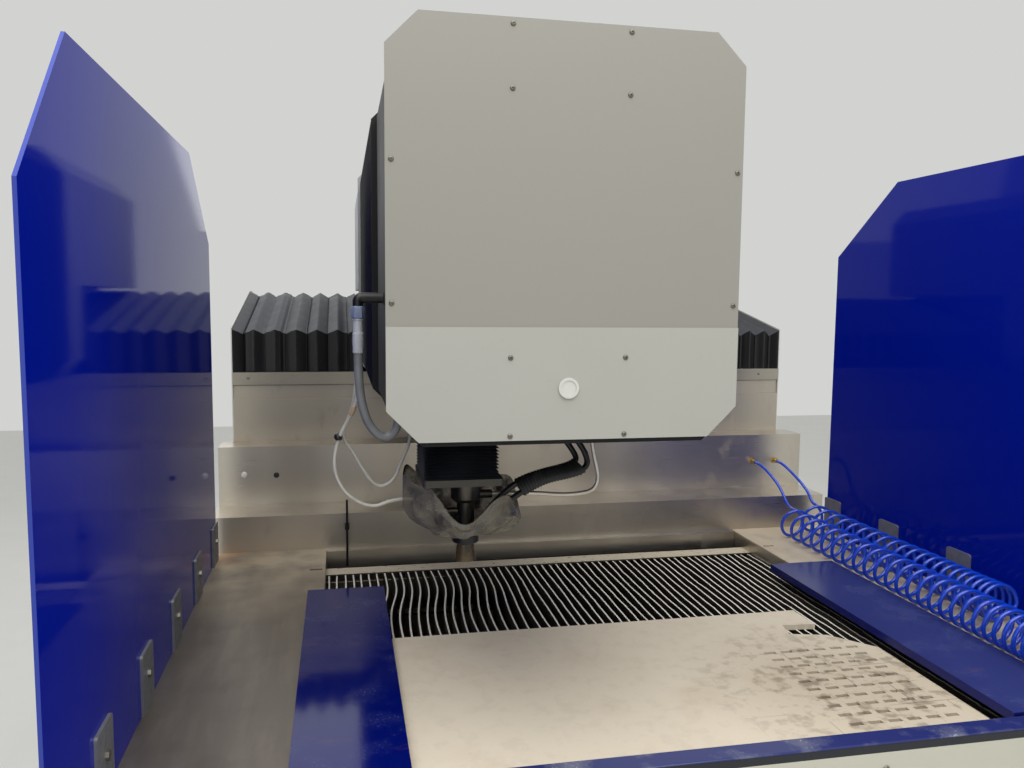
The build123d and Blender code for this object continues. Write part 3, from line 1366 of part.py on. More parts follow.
# High-pressure tube: bent steel tube from the arm down to the valve's water port
with BuildPart() as pressure_tube:
    hose(
        "pressure_tube",
        [
            (PRESSURE_ENTRY, NOZZLE_Y, ARM_Z[0]),
            (PRESSURE_ENTRY, NOZZLE_Y, 440),
            (-94, NOZZLE_Y, 352),
            (-160, NOZZLE_Y, 342),
            (-232, NOZZLE_Y, PORT_Z),
            (NOZZLE_X + PORT_REACH, NOZZLE_Y, PORT_Z),
        ],
        STEEL_TUBE_D,
    )
keep(pressure_tube.part, "pressure_tube")

# Hose bundle: two black hoses that come down from the arm, turn back and dive over the bag's rim to the
# nozzle body
UPPER_HOSE = [
    (*BLACK_ENTRIES[0], ARM_Z[0]),
    (*BLACK_ENTRIES[0], 456),
    (-150, -888, 428),
    (-141, -898, 406),
    (-166, -906, 396),
    (-218, -914, 390),
    (-262, -919, 374),
    (-296, -920, 346),
    (-320, -920, 318),
    (-335, -919, 290),
]
LOWER_HOSE = [
    (*BLACK_ENTRIES[1], ARM_Z[0]),
    (*BLACK_ENTRIES[1], 452),
    (-128, -903, 424),
    (-124, -911, 396),
    (-158, -920, 381),
    (-208, -928, 364),
    (-266, -934, 336),
    (-312, -934, 312),
    (-344, -927, 296),
]
with BuildPart() as hose_bundle:
    for route in (UPPER_HOSE, LOWER_HOSE):
        hose("hose_bundle", route, BLACK_HOSE_D)
keep(hose_bundle.part, "hose_bundle")

# Coiled hoses: a lead from the bulkhead fitting, then a springy coil along the right deck
LEAD_START = LEDGE_DEPTH - FITTING_LENGTH
COIL_Z = COIL_R + COIL_LIFT
AIR_LEAD = [
    (FITTING_X[0], LEAD_START, FITTING_Z),
    (FITTING_X[0], LEAD_START - 25, FITTING_Z),
    (FITTING_X[0] + 14, 60, 164),
    (FITTING_X[0] + 30, 10, 124),
    (COIL_X[0] + 28, -34, COIL_Z + 30),
    (COIL_X[0] + 28, COIL_REAR[0] + 22, COIL_Z + 28),
    (COIL_X[0] + 28, COIL_REAR[0], COIL_Z + 28),
]
WATER_LEAD = [
    (FITTING_X[1], LEAD_START, FITTING_Z),
    (FITTING_X[1], LEAD_START - 25, FITTING_Z),
    (FITTING_X[1] + 16, 66, 164),
    (FITTING_X[1] + 34, -8, 118),
    (COIL_X[1] + 24, COIL_REAR[1] + 26, COIL_Z + 34),
    (COIL_X[1] + 24, COIL_REAR[1], COIL_Z + 34),
]
TAIL_Z = COUPLING_R + COIL_LIFT
AIR_TAIL = [
    (COIL_X[0] + 20, COIL_FRONT[0], COIL_Z - 20),
    (COIL_X[0] + 20, COIL_FRONT[0] - 16, COIL_Z - 20),
    (COIL_X[0] + 19, COIL_FRONT[0] - 36, TAIL_Z),
    (COIL_X[0] + 19, COIL_FRONT[0] - 55, TAIL_Z),
]
WATER_TAIL = [
    (COIL_X[1] + 16, COIL_FRONT[1], COIL_Z - 22),
    (COIL_X[1] + 16, COIL_FRONT[1] - 22, COIL_Z - 22),
    (COIL_X[1] + 14, COIL_FRONT[1] - 46, TAIL_Z),
    (COIL_X[1] + 14, COIL_FRONT[1] - 70, TAIL_Z),
]
for kind, lead, tail in (("air", AIR_LEAD, AIR_TAIL), ("water", WATER_LEAD, WATER_TAIL)):
    with BuildPart() as hose_runs:
        hose(f"{kind}_hose", lead, COIL_HOSE_D)
        hose(f"{kind}_hose", tail, COIL_HOSE_D)
    keep(hose_runs.part, f"{kind}_hose")

for kind, coil_x, rear_y, front_y in (
    ("air", COIL_X[0], COIL_REAR[0], COIL_FRONT[0]),
    ("water", COIL_X[1], COIL_REAR[1], COIL_FRONT[1]),
):
    with BuildPart() as hose_coil:
        with BuildSketch(facing_front(coil_x, rear_y, COIL_Z)):
            Circle(COIL_R)
        extrude(amount=rear_y - front_y)
    keep(hose_coil.part, f"{kind}_hose_coil")

# Couplings: the quick couplings on the hoses' far ends, lying on the deck
for kind, end in (("air", AIR_TAIL[-1]), ("water", WATER_TAIL[-1])):
    with BuildPart() as coupling:
        with BuildSketch(facing_right(end[0])):
            with BuildLine():
                Polyline(
                    (end[1], end[2]),
                    (end[1], end[2] + 6),
                    (end[1] - 12, end[2] + 6),
                    (end[1] - 14, end[2] + COUPLING_R),
                    (end[1] - 44, end[2] + COUPLING_R),
                    (end[1] - 46, end[2] + 7),
                    (end[1] - COUPLING_LENGTH, end[2] + 7),
                    (end[1] - COUPLING_LENGTH, end[2]),
                    close=True,
                )
            make_face()
        revolve(axis=Axis(at(*end), (0, 1, 0)))
    keep(coupling.part, f"{kind}_coupling")
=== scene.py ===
"""A compact waterjet cutting machine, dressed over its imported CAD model.

Places are written in millimetres from the middle of the bed's rear edge, at the height of the deck's top,
with X to the operator's right, Y away from the operator and Z up. place() and places() turn them into the
model's own frame, in metres.
"""

import logging
import math
from dataclasses import dataclass
from enum import Enum

import bpy
import numpy as np
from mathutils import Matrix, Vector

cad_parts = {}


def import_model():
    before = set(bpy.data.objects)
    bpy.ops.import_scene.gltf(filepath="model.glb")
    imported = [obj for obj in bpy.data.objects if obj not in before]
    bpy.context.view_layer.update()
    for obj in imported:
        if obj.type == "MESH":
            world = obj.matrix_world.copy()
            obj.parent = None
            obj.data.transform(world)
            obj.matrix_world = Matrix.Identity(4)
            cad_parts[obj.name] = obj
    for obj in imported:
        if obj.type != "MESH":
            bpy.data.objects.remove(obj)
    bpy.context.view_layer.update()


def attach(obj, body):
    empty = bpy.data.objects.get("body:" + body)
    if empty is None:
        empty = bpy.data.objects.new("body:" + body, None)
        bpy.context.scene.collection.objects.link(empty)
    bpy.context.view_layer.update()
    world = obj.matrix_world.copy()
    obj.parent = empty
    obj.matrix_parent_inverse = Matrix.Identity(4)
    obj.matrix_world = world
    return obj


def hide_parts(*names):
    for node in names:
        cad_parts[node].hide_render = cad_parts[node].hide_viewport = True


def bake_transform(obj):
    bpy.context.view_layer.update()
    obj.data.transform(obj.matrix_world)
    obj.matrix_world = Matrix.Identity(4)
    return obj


LOG = logging.getLogger("waterjet")

Socket = bpy.types.NodeSocket
Route = list[tuple[float, float, float]]
EVEN = (1.0, 1.0, 1.0)

# The deck's height over the floor, and the bed's rear edge in the model's frame
DECK_HEIGHT = 900.0
REAR_EDGE_Y = 253.5

# The arm's octagon and the two plates on its nose
ARM_X = -230.0
ARM_HALF = 273.0
ARM_Z = (482.0, 1088.0)
ARM_CHAMFER = 50.0
COVER_OUT = 10.0
PLATE_FACE = -1148.5
LOWER_FACE = -1151.0

# The cutting head's axis, a direction that no hose near it runs along, and the lift that its black
# hoses are given
NOZZLE_X = -353.0
NOZZLE_Y = -903.0
TUBE_ACROSS = np.array([0.0, 1.0, 0.02])
BUNDLE_LIFT = [(-150, -890, 470), (-330, -919, 300)]


def places(points: Route | np.ndarray) -> np.ndarray:
    """Turns several places from machine millimetres into the model's frame, in metres."""
    return (np.asarray(points, float) + (0.0, REAR_EDGE_Y, DECK_HEIGHT)) / 1000


def linear(colour: str) -> tuple[float, ...]:
    """Turns an sRGB hex colour into linear light.

    Args:
        colour: six hex digits after a hash sign.

    Returns:
        Red, green, blue and alpha, from 0 to 1.
    """
    parts = [int(colour[i : i + 2], 16) / 255 for i in (1, 3, 5)]
    return (*(p / 12.92 if p <= 0.04045 else ((p + 0.055) / 1.055) ** 2.4 for p in parts), 1.0)


# Meshes from arrays


def around(steps: int) -> np.ndarray:
    """Gives the angles of evenly spaced steps round a full turn."""
    return np.arange(steps) * 2 * math.pi / steps


def unit(rows: np.ndarray) -> np.ndarray:
    """Brings each vector to length 1."""
    return rows / np.linalg.norm(rows, axis=-1, keepdims=True)


def run_along(line: np.ndarray) -> np.ndarray:
    """Gives each point's distance along a line, adding up the steps between its points."""
    return np.r_[0, np.cumsum(np.linalg.norm(np.diff(line, axis=0), axis=1))]


def faces_of(rows: int, columns: int, close_rows: bool, close_columns: bool) -> np.ndarray:
    """Lists the quads of a grid of points: each point is joined to the next in its row and its column.

    Args:
        rows: how many rows the grid has.
        columns: how many points each row has.
        close_rows: True where the last row joins the first again.
        close_columns: True where each row's last point joins its first again.

    Returns:
        An array of four point numbers for each quad.
    """
    row = np.arange(rows if close_rows else rows - 1)[:, None]
    column = np.arange(columns if close_columns else columns - 1)[None, :]
    next_row, next_column = (row + 1) % rows, (column + 1) % columns
    corners = (
        row * columns + column,
        row * columns + next_column,
        next_row * columns + next_column,
        next_row * columns + column,
    )
    return np.stack([np.broadcast_to(c, np.broadcast(row, column).shape).ravel() for c in corners], 1)


def enclosed_volume(points: np.ndarray, quads: np.ndarray) -> float:
    """Sums the signed volumes of the pyramids from the origin to each quad.

    Args:
        points: one place for each point.
        quads: four point numbers for each quad.

    Returns:
        The volume, which is negative where the faces point inwards.
    """
    a, b, c, d = (points[quads[:, i]] for i in range(4))
    halves = np.einsum("ij,ij->i", a, np.cross(b, c)) + np.einsum("ij,ij->i", a, np.cross(c, d))
    return float(halves.sum()) / 6


def linked(name: str, data: bpy.types.ID) -> bpy.types.Object:
    """Makes an object of new data, and links it into the scene."""
    made = bpy.data.objects.new(name, data)
    bpy.context.scene.collection.objects.link(made)
    return made


def mesh_object(
    name: str,
    points: np.ndarray,
    quads: np.ndarray,
    caps: list[list[int]] | None = None,
    crease: float = 35.0,
) -> bpy.types.Object:
    """Puts points and faces into a mesh object that faces outwards, smooth but for its creases.

    Args:
        name: the new object's name.
        points: one place for each point, in metres.
        quads: four point numbers for each quad.
        caps: extra faces, each a list of point numbers.
        crease: the angle between faces, in degrees, past which an edge is sharp.

    Returns:
        The linked object, at the origin.
    """
    caps = caps or []
    if enclosed_volume(points, quads) < 0:
        quads = quads[:, ::-1]
        caps = [cap[::-1] for cap in caps]
    mesh = bpy.data.meshes.new(name)
    mesh.from_pydata(points.tolist(), [], quads.tolist() + caps)
    mesh.polygons.foreach_set("use_smooth", np.ones(len(mesh.polygons), bool))
    mesh.set_sharp_from_angle(angle=math.radians(crease))
    mesh.validate()
    mesh.update()
    return linked(name, mesh)


def gathered(name: str, grids: list[np.ndarray], crease: float = 35.0) -> bpy.types.Object:
    """Makes one object of equal tubes, each closed round its rows and capped at both ends.

    Args:
        name: the new object's name.
        grids: a grid for each tube, rows by columns by 3, in metres.
        crease: the angle past which an edge is sharp, in degrees.

    Returns:
        The linked object.
    """
    rows, columns = grids[0].shape[:2]
    points = np.concatenate([grid.reshape(-1, 3) for grid in grids])
    offsets = np.arange(len(grids)) * rows * columns
    quads = faces_of(rows, columns, False, True)
    first = list(range(columns))[::-1]
    last = list(range((rows - 1) * columns, rows * columns))
    caps = [[number + int(offset) for number in cap] for offset in offsets for cap in (first, last)]
    every = (quads[None] + offsets[:, None, None]).reshape(-1, 4)
    return mesh_object(name, points, every, caps, crease)


def shell(name: str, grid: np.ndarray, crease: float = 35.0) -> bpy.types.Object:
    """Makes one tube from a grid of points, as gathered() does."""
    return gathered(name, [grid], crease)


def ring(name: str, grid: np.ndarray, crease: float = 35.0) -> bpy.types.Object:
    """Makes a surface that closes both round each row and from its last row to its first."""
    quads = faces_of(grid.shape[0], grid.shape[1], True, True)
    return mesh_object(name, grid.reshape(-1, 3), quads, None, crease)


def lathe_grid(profile: list | np.ndarray, sides: int, hexagonal: np.ndarray | None = None) -> np.ndarray:
    """Turns a profile round Z. A point is (r cos a, r sin a, z). On a hexagonal row r is divided by the
    cosine of the angle from the nearest flat's middle, which makes that row a hexagon.

    Args:
        profile: rows of radius and height.
        sides: how many points go round, a multiple of six where there are hexagons.
        hexagonal: a mark for each row that is a hexagon, with the radius to its flats.

    Returns:
        Rows by sides by 3.
    """
    profile, angle = np.asarray(profile, float), around(sides)
    flat = np.mod(angle, math.pi / 3) - math.pi / 6
    stretch = np.ones((len(profile), sides))
    if hexagonal is not None:
        stretch = np.where(hexagonal[:, None], 1 / np.cos(flat)[None, :], 1.0)
    radius = profile[:, :1] * stretch
    height = np.repeat(profile[:, 1:], sides, 1)
    return np.stack([radius * np.cos(angle), radius * np.sin(angle), height], 2)


def smooth_line(name: str, points: np.ndarray) -> np.ndarray:
    """Reads the points of a NURBS line that has the route's points as its control points.

    Args:
        name: a name for the curve that is made for it and deleted again.
        points: the route's points, in metres.

    Returns:
        Points along the smooth line, in metres.
    """
    curve = nurbs(name, points, 0.0)
    line = bpy.data.meshes.new_from_object(curve.evaluated_get(bpy.context.evaluated_depsgraph_get()))
    found = np.zeros(len(line.vertices) * 3)
    line.vertices.foreach_get("co", found)
    bpy.data.objects.remove(curve)
    return found.reshape(-1, 3)


def nurbs(name: str, points: np.ndarray, radius: float, steps: int = 8) -> bpy.types.Object:
    """Makes a NURBS curve with the points as its control points, and a round section where it has a radius.

    Args:
        name: the new object's name.
        points: the control points, in metres.
        radius: the section's radius in metres, or 0 for a bare line.
        steps: how many steps the curve takes between control points.

    Returns:
        The linked curve object.
    """
    data = bpy.data.curves.new(name, "CURVE")
    data.dimensions = "3D"
    data.resolution_u = steps
    data.bevel_depth = radius
    data.bevel_resolution = 4
    data.use_fill_caps = radius > 0
    spline = data.splines.new("NURBS")
    spline.points.add(len(points) - 1)
    spline.points.foreach_set("co", np.c_[points, np.ones(len(points))].ravel())
    spline.order_u = 3
    spline.use_endpoint_u = True
    made = linked(name, data)
    bpy.context.view_layer.update()
    return made


def tube_grid(line: np.ndarray, radius: float, sides: int, across: np.ndarray) -> np.ndarray:
    """Carries a circle along a line. At each point the circle lies across the line's direction t, between
    b = t x across and n = b x t, and a point of it is line + r (b cos a + n sin a).

    Args:
        line: points along the tube's middle, in metres.
        radius: the tube's radius, in metres.
        sides: how many points go round.
        across: a direction that the line is never parallel to.

    Returns:
        Rows by sides by 3.
    """
    along = unit(np.gradient(line, axis=0))
    side = unit(np.cross(along, across))
    over = np.cross(side, along)
    angle = around(sides)[None, :, None]
    return line[:, None] + radius * (side[:, None] * np.cos(angle) + over[:, None] * np.sin(angle))


# Materials


def add_node(
    tree: bpy.types.NodeTree,
    kind: str,
    inputs: dict[int | str, object] | None = None,
    **settings: object,
) -> bpy.types.Node:
    """Adds a node with its settings and links.

    Args:
        tree: the material's node tree.
        kind: the node's type, such as ShaderNodeTexNoise.
        inputs: socket name or number to a value, or to another node's output.
        **settings: the node's own settings.

    Returns:
        The new node.
    """
    made = tree.nodes.new(kind)
    for name, value in settings.items():
        setattr(made, name, value)
    for socket, value in (inputs or {}).items():
        if isinstance(value, Socket):
            tree.links.new(value, made.inputs[socket])
        else:
            made.inputs[socket].default_value = value
    return made


class Facing(Enum):
    """The way that a surface faces, as the axis of its normal that a share reads."""

    SIDE = "X"
    UP = "Z"


@dataclass
class Skin:
    """A surface while its finish is laid on, layer by layer: the colour and the roughness reached so far,
    each a plain value or a socket. A share is a socket from 0 to 1 that says where a layer shows."""

    RELIEF = 0.6

    tree: bpy.types.NodeTree
    shader: bpy.types.Node
    colour: Socket | str
    roughness: Socket | float

    def feed(self, name: str, value: Socket | object) -> None:
        """Links one of the shader's sockets, or leaves it as it is where the value is plain."""
        if isinstance(value, Socket):
            self.tree.links.new(value, self.shader.inputs[name])

    def share(self, value: Socket, low: float, high: float, top: float = 1.0) -> Socket:
        """Spreads the part of a value between two limits over 0 to a top value."""
        limits = {"Value": value, "From Min": low, "From Max": high, "To Min": 0.0, "To Max": top}
        return add_node(self.tree, "ShaderNodeMapRange", limits).outputs["Result"]

    def place_share(self, axis: str, low: float, high: float, top: float = 1.0) -> Socket:
        """Gives a share that grows from 0 to its top value between two places on an axis, in metres."""
        where = add_node(self.tree, "ShaderNodeTexCoord")
        parts = add_node(self.tree, "ShaderNodeSeparateXYZ", {0: where.outputs["Object"]})
        return self.share(parts.outputs[axis], low, high, top)

    def noise(self, size_mm: float, detail: float, stretch: tuple[float, float, float] = EVEN) -> Socket:
        """Gives noise whose patches are about one size, on Object coordinates.

        Args:
            size_mm: the size of a patch, in millimetres.
            detail: how many finer layers the noise has.
            stretch: how much denser the noise is along each axis.

        Returns:
            The noise, from 0 to 1.
        """
        where = add_node(self.tree, "ShaderNodeTexCoord")
        place_on = {"Vector": where.outputs["Object"], "Scale": stretch}
        mapped = add_node(self.tree, "ShaderNodeMapping", place_on).outputs["Vector"]
        grain = {"Vector": mapped, "Scale": 1000 / size_mm, "Detail": detail}
        return add_node(self.tree, "ShaderNodeTexNoise", grain).outputs["Fac"]

    def patches(
        self,
        size_mm: float,
        detail: float,
        low: float,
        high: float,
        top: float = 1.0,
        stretch: tuple[float, float, float] = EVEN,
    ) -> Socket:
        """Gives the share of noise between two limits, as noise() and share() say."""
        return self.share(self.noise(size_mm, detail, stretch), low, high, top)

    def facing(self, way: Facing, low: float, high: float) -> Socket:
        """Gives 1 where the surface's normal points along an axis, either way, and 0 across it.

        Args:
            way: the axis.
            low: the normal's part along the axis below which the share is 0.
            high: the part above which it is 1.

        Returns:
            The share.
        """
        normal = add_node(self.tree, "ShaderNodeNewGeometry").outputs["Normal"]
        parts = add_node(self.tree, "ShaderNodeSeparateXYZ", {0: normal})
        size = add_node(self.tree, "ShaderNodeMath", {0: parts.outputs[way.value]}, operation="ABSOLUTE")
        return self.share(size.outputs[0], low, high)

    def joined(self, first: Socket | float, *others: Socket | float, by: str = "MULTIPLY") -> Socket:
        """Joins values one after another by one operation, multiplying them by default.

        Args:
            first: the first value.
            *others: those that are joined to it.
            by: the operation, by Blender's name.

        Returns:
            The result.
        """
        for other in others:
            first = add_node(self.tree, "ShaderNodeMath", {0: first, 1: other}, operation=by).outputs[0]
        return first

    def lay(self, colour: str, *shares: Socket | float, under: bool = False) -> None:
        """Lays a colour over what is there.

        Args:
            colour: its six hex digits after a hash sign.
            *shares: where it shows, multiplied together.
            under: True where the colour shows through where the share is low instead.
        """
        pair = [linear(c) if isinstance(c, str) else c for c in (self.colour, colour)]
        first, second = reversed(pair) if under else pair
        inputs = {0: self.joined(*shares), 6: first, 7: second}
        self.colour = add_node(self.tree, "ShaderNodeMix", inputs, data_type="RGBA").outputs[2]

    def dull(self, share: Socket, amount: float = 1.0) -> None:
        """Makes the surface rougher by an amount times a share."""
        rise = share if amount == 1.0 else self.joined(share, amount)
        self.roughness = self.joined(rise, self.roughness, by="ADD")

    def emboss(self, height: Socket, depth_mm: float) -> None:
        """Raises the surface by a height from 0 to 1, as far as that depth in millimetres."""
        relief = {"Height": height, "Distance": depth_mm / 1000, "Strength": self.RELIEF}
        self.feed("Normal", add_node(self.tree, "ShaderNodeBump", relief).outputs["Normal"])


@dataclass(frozen=True)
class Finish:
    """A surface finish: its common name, its colour and its gloss."""

    name: str
    colour: str
    roughness: float = 0.5
    metallic: float = 0.0
    ior: float = 1.5
    coat: float = 0.0
    specular: float = 0.5

    COAT_ROUGHNESS = 0.08

    def material(self) -> bpy.types.Material:
        """Finds the finish's material, or makes it the first time.

        Returns:
            The material.
        """
        found = bpy.data.materials.get(self.name)
        if found is None:
            found = bpy.data.materials.new(self.name)
            found.use_nodes = True
            shader = found.node_tree.nodes["Principled BSDF"]
            for socket, value in (
                ("Base Color", linear(self.colour)),
                ("Roughness", self.roughness),
                ("Metallic", self.metallic),
                ("IOR", self.ior),
                ("Coat Weight", self.coat),
                ("Coat Roughness", self.COAT_ROUGHNESS),
                ("Specular IOR Level", self.specular),
            ):
                shader.inputs[socket].default_value = value
            skin = Skin(found.node_tree, shader, self.colour, self.roughness)
            self.detail(skin)
            skin.feed("Base Color", skin.colour)
            skin.feed("Roughness", skin.roughness)
        return found

    def detail(self, skin: Skin) -> None:
        """Lays the finish's own grain and wear on the skin, which the plain finish has none of."""


@dataclass(frozen=True)
class GlossEnamel(Finish):
    """Two-pack gloss enamel, sprayed on sheet steel: deep and wet-looking, with a faint orange peel. The
    faces that don't look along its axis take the edge colour: on the guards and plates the laser-cut edges
    show as thin pale lines, because the enamel pulls away from them, and on the front rail the front and
    ends are near-black."""

    edge: str = "#4656B4"
    face: Facing = Facing.SIDE
    dust: float = 0.0
    rust: float = 0.0
    film: str = "#565E86"
    lean: float = 0.0

    def detail(self, skin: Skin) -> None:
        """Adds the cut edges, a film of dust and smears of rust water where it has them, and the orange
        peel. The film can be thicker on the machine's right side, past X = 0.1 m."""
        right = skin.place_share("X", -0.1, 0.1, self.lean)
        dusty = skin.joined(skin.patches(90, 6, 0.5, 0.8), self.dust)
        film = skin.joined(dusty, right, by="ADD")
        skin.lay(self.film, film)
        skin.lay("#9498B4", skin.patches(6, 3, 0.6, 0.68), dusty, 2.0)
        skin.lay("#5C4238", skin.patches(60, 7, 0.62, 0.74, stretch=(0.6, 1.4, 1.0)), self.rust)
        skin.lay(self.edge, skin.facing(self.face, 0.3, 0.6), under=True)
        skin.dull(film, 0.5)
        skin.emboss(skin.noise(6, 2), 0.05)


@dataclass(frozen=True)
class Filmed(Finish):
    """A finish with one film of dirt, marks or tarnish, which shows in patches, and a fine grain. The
    patches have the noise's size, detail and limits. The grain has a size, a detail, a stretch and a
    depth."""

    film: str = "#6B675E"
    amount: float = 0.3

    PATCHES = (30, 5, 0.5, 0.75)
    GRAIN = (3.0, 2, EVEN, 0.08)
    DULLING = 0.4

    def detail(self, skin: Skin) -> None:
        """Adds the film, which is duller than the rest, and the grain."""
        film = skin.patches(*self.PATCHES, self.amount)
        skin.lay(self.film, film)
        skin.dull(film, self.DULLING)
        *grain, depth = self.GRAIN
        skin.emboss(skin.noise(*grain), depth)


@dataclass(frozen=True)
class MouldedPlastic(Filmed):
    """Extruded or moulded plastic or rubber, with a fine drawn skin and a little dirt."""


@dataclass(frozen=True)
class TurnedMetal(Filmed):
    """Turned, ground or plated metal: a slight tarnish, and tool lines drawn twice as coarse as real."""

    film: str = "#5F5A50"
    amount: float = 0.35

    PATCHES = (18, 5, 0.45, 0.7)
    GRAIN = (0.8, 1, (0.2, 0.2, 1.0), 0.02)


@dataclass(frozen=True)
class PowderCoat(Filmed):
    """Powder coat, sprayed dry and baked: satin, with broad hand marks, small specks, and a fine pebbled
    grain, drawn four times coarser than real."""

    film: str = "#8E8C84"
    amount: float = 0.25

    PATCHES = (260, 5, 0.42, 0.75)
    GRAIN = (1.6, 2, EVEN, 0.12)
    DULLING = 0.3

    def detail(self, skin: Skin) -> None:
        """Adds the specks to the marks and the grain."""
        super().detail(skin)
        skin.lay(self.film, skin.patches(9, 1, 0.74, 0.78, self.amount))


@dataclass(frozen=True)
class BrushedSheet(Finish):
    """Brushed stainless sheet: a fine grain along its length, broad soft upright bands, which are partly
    rolling marks and partly a painted reflection of bright light from the front, water marks and a few dark
    spots."""

    band: str = "#6E665A"
    stain: str = "#5C4B38"
    stained: float = 0.35

    def detail(self, skin: Skin) -> None:
        """Adds the upright bands, as rolling marks and a painted reflection, the water marks and the grain,
        drawn twice as coarse as real.
        """
        # Upright bands: rolling marks, and a painted reflection of bright light from the front
        bands = skin.patches(170, 1, 0.36, 0.7, 0.5, (1.0, 1.0, 0.06))
        marks = skin.patches(55, 7, 0.6, 0.8, self.stained, (1.0, 1.0, 0.5))
        grain = skin.noise(1.6, 2, (0.02, 0.02, 1.0))
        skin.lay(self.band, bands)
        skin.lay(self.stain, marks)
        skin.dull(bands, 0.12)
        skin.dull(skin.share(grain, 0.3, 0.8, 0.12))
        skin.dull(marks)
        skin.emboss(grain, 0.12)


@dataclass(frozen=True)
class WornPlate(Finish):
    """Hot-rolled steel plate that is splashed and walked over: brown-grey on the left, where it is wet, and
    pale with dried slurry on the right, with an orange bloom of rust in the left rear corner."""

    dry: str = "#CABDA8"
    scuff: str = "#8F867A"
    grime: str = "#5E564C"
    # Pale colour laid in patches that grow towards the rear, so the deck is darker at the front and lighter
    # at the rear
    caked: str = "#C6B79D"
    rust: str = "#B07A4A"

    def detail(self, skin: Skin) -> None:
        """Adds dried slurry on the right, a pale patchy layer that grows towards the rear, so that the deck
        is darker at the front, long scuffs, faint grime and rust in the corner. What lies under the slurry
        and the pale layer is less metallic and rougher."""
        right = skin.place_share("X", -0.1, 0.1)
        # Share of the pale layer: none at the front, growing towards the rear
        paler_to_rear = skin.joined(skin.place_share("Y", -0.30, 0.16), skin.patches(110, 6, 0.25, 0.6, 0.85))
        skin.lay(self.dry, right)
        skin.lay(self.scuff, skin.patches(30, 6, 0.45, 0.7, 0.45, (1.0, 0.16, 1.0)))
        skin.lay(self.grime, skin.patches(80, 8, 0.5, 0.8, 0.5))
        skin.lay(self.caked, paler_to_rear)
        corner = (skin.place_share("X", -0.72, -0.90), skin.place_share("Y", 0.10, 0.25))
        skin.lay(self.rust, *corner, skin.patches(60, 5, 0.35, 0.65, 0.8))
        crust = skin.joined(skin.joined(paler_to_rear, right, by="MAXIMUM"), 0.6)
        skin.feed("Metallic", skin.joined(0.75, crust, by="SUBTRACT"))
        skin.dull(crust, 0.3)
        skin.emboss(skin.noise(12, 6), 0.15)


@dataclass(frozen=True)
class SlatSteel(Finish):
    """Galvanised strip cut by the jet: its upper edges are worn pale, and its sides are dark with slurry."""

    top: str = "#F0EBDF"
    streak: str = "#5E584F"

    def detail(self, skin: Skin) -> None:
        """Adds the streaks of slurry on the sides and the pale upper edges."""
        skin.lay(self.streak, skin.patches(24, 5, 0.4, 0.7, 0.6, (1.0, 0.3, 2.0)))
        skin.lay(self.top, skin.facing(Facing.UP, 0.3, 0.6))
        skin.emboss(skin.noise(5, 4), 0.2)


@dataclass(frozen=True)
class CakedSteel(Finish):
    """Steel under a crust of spent garnet: what faces up is caked cream, and the rest is dark and wet."""

    crust: str = "#CBC0A9"

    def detail(self, skin: Skin) -> None:
        """Adds the crust, which has gaps and lumps."""
        crust = skin.joined(skin.facing(Facing.UP, 0.4, 0.8), skin.patches(16, 6, 0.22, 0.4))
        skin.lay(self.crust, crust)
        skin.feed("Metallic", skin.joined(0.6, skin.joined(crust, 0.6), by="SUBTRACT"))
        skin.emboss(skin.noise(9, 6), 1.5)


@dataclass(frozen=True)
class SoakedBoard(Finish):
    """Sacrificial board, pressed from pale chips and soaked by the jet: cream, with tan tide marks, grey
    slurry and a few straight lines left by cuts."""

    tide: str = "#BBA481"
    damp: str = "#A6967C"
    slurry: str = "#8B7E6A"
    chip: str = "#C2B496"
    kerf: str = "#4C4134"
    kerf_mm: float = 1.6
    kerf_spacing_mm: tuple[float, float] = (131.0, 83.0)
    worn_middle: tuple[float, float, float] = (0.40, -0.74, 0.863)
    worn_reach: tuple[float, float] = (0.34, 0.08)

    def detail(self, skin: Skin) -> None:
        """Adds tide marks, slurry, chips, and the joints of a brick pattern as straight cuts. Slurry and
        cuts gather round the cell slots: their share falls from 1 near the slots' middle to 0 away."""
        where = add_node(skin.tree, "ShaderNodeTexCoord").outputs["Object"]
        ends = {0: where, 1: self.worn_middle}
        away = add_node(skin.tree, "ShaderNodeVectorMath", ends, operation="DISTANCE")
        near = skin.share(away.outputs["Value"], *self.worn_reach)
        width, height = self.kerf_spacing_mm
        cuts = {
            "Vector": where,
            "Scale": 1.0,
            "Mortar Size": self.kerf_mm / 2000,
            "Mortar Smooth": 0.1,
            "Brick Width": width / 1000,
            "Row Height": height / 1000,
        }
        kerfs = add_node(skin.tree, "ShaderNodeTexBrick", cuts).outputs["Fac"]
        skin.lay(self.tide, skin.patches(150, 6, 0.52, 0.76, 0.3))
        skin.lay(self.damp, near, 0.5)
        faint = skin.joined(skin.joined(near, 0.9), 0.1, by="ADD")
        skin.lay(self.slurry, skin.patches(26, 8, 0.5, 0.66, 0.9), faint)
        skin.lay(self.chip, skin.patches(4, 3, 0.6, 0.7, 0.25))
        skin.lay(self.kerf, kerfs, skin.patches(120, 2, 0.52, 0.56), near, 0.85)
        skin.emboss(skin.noise(3, 4), 0.3)


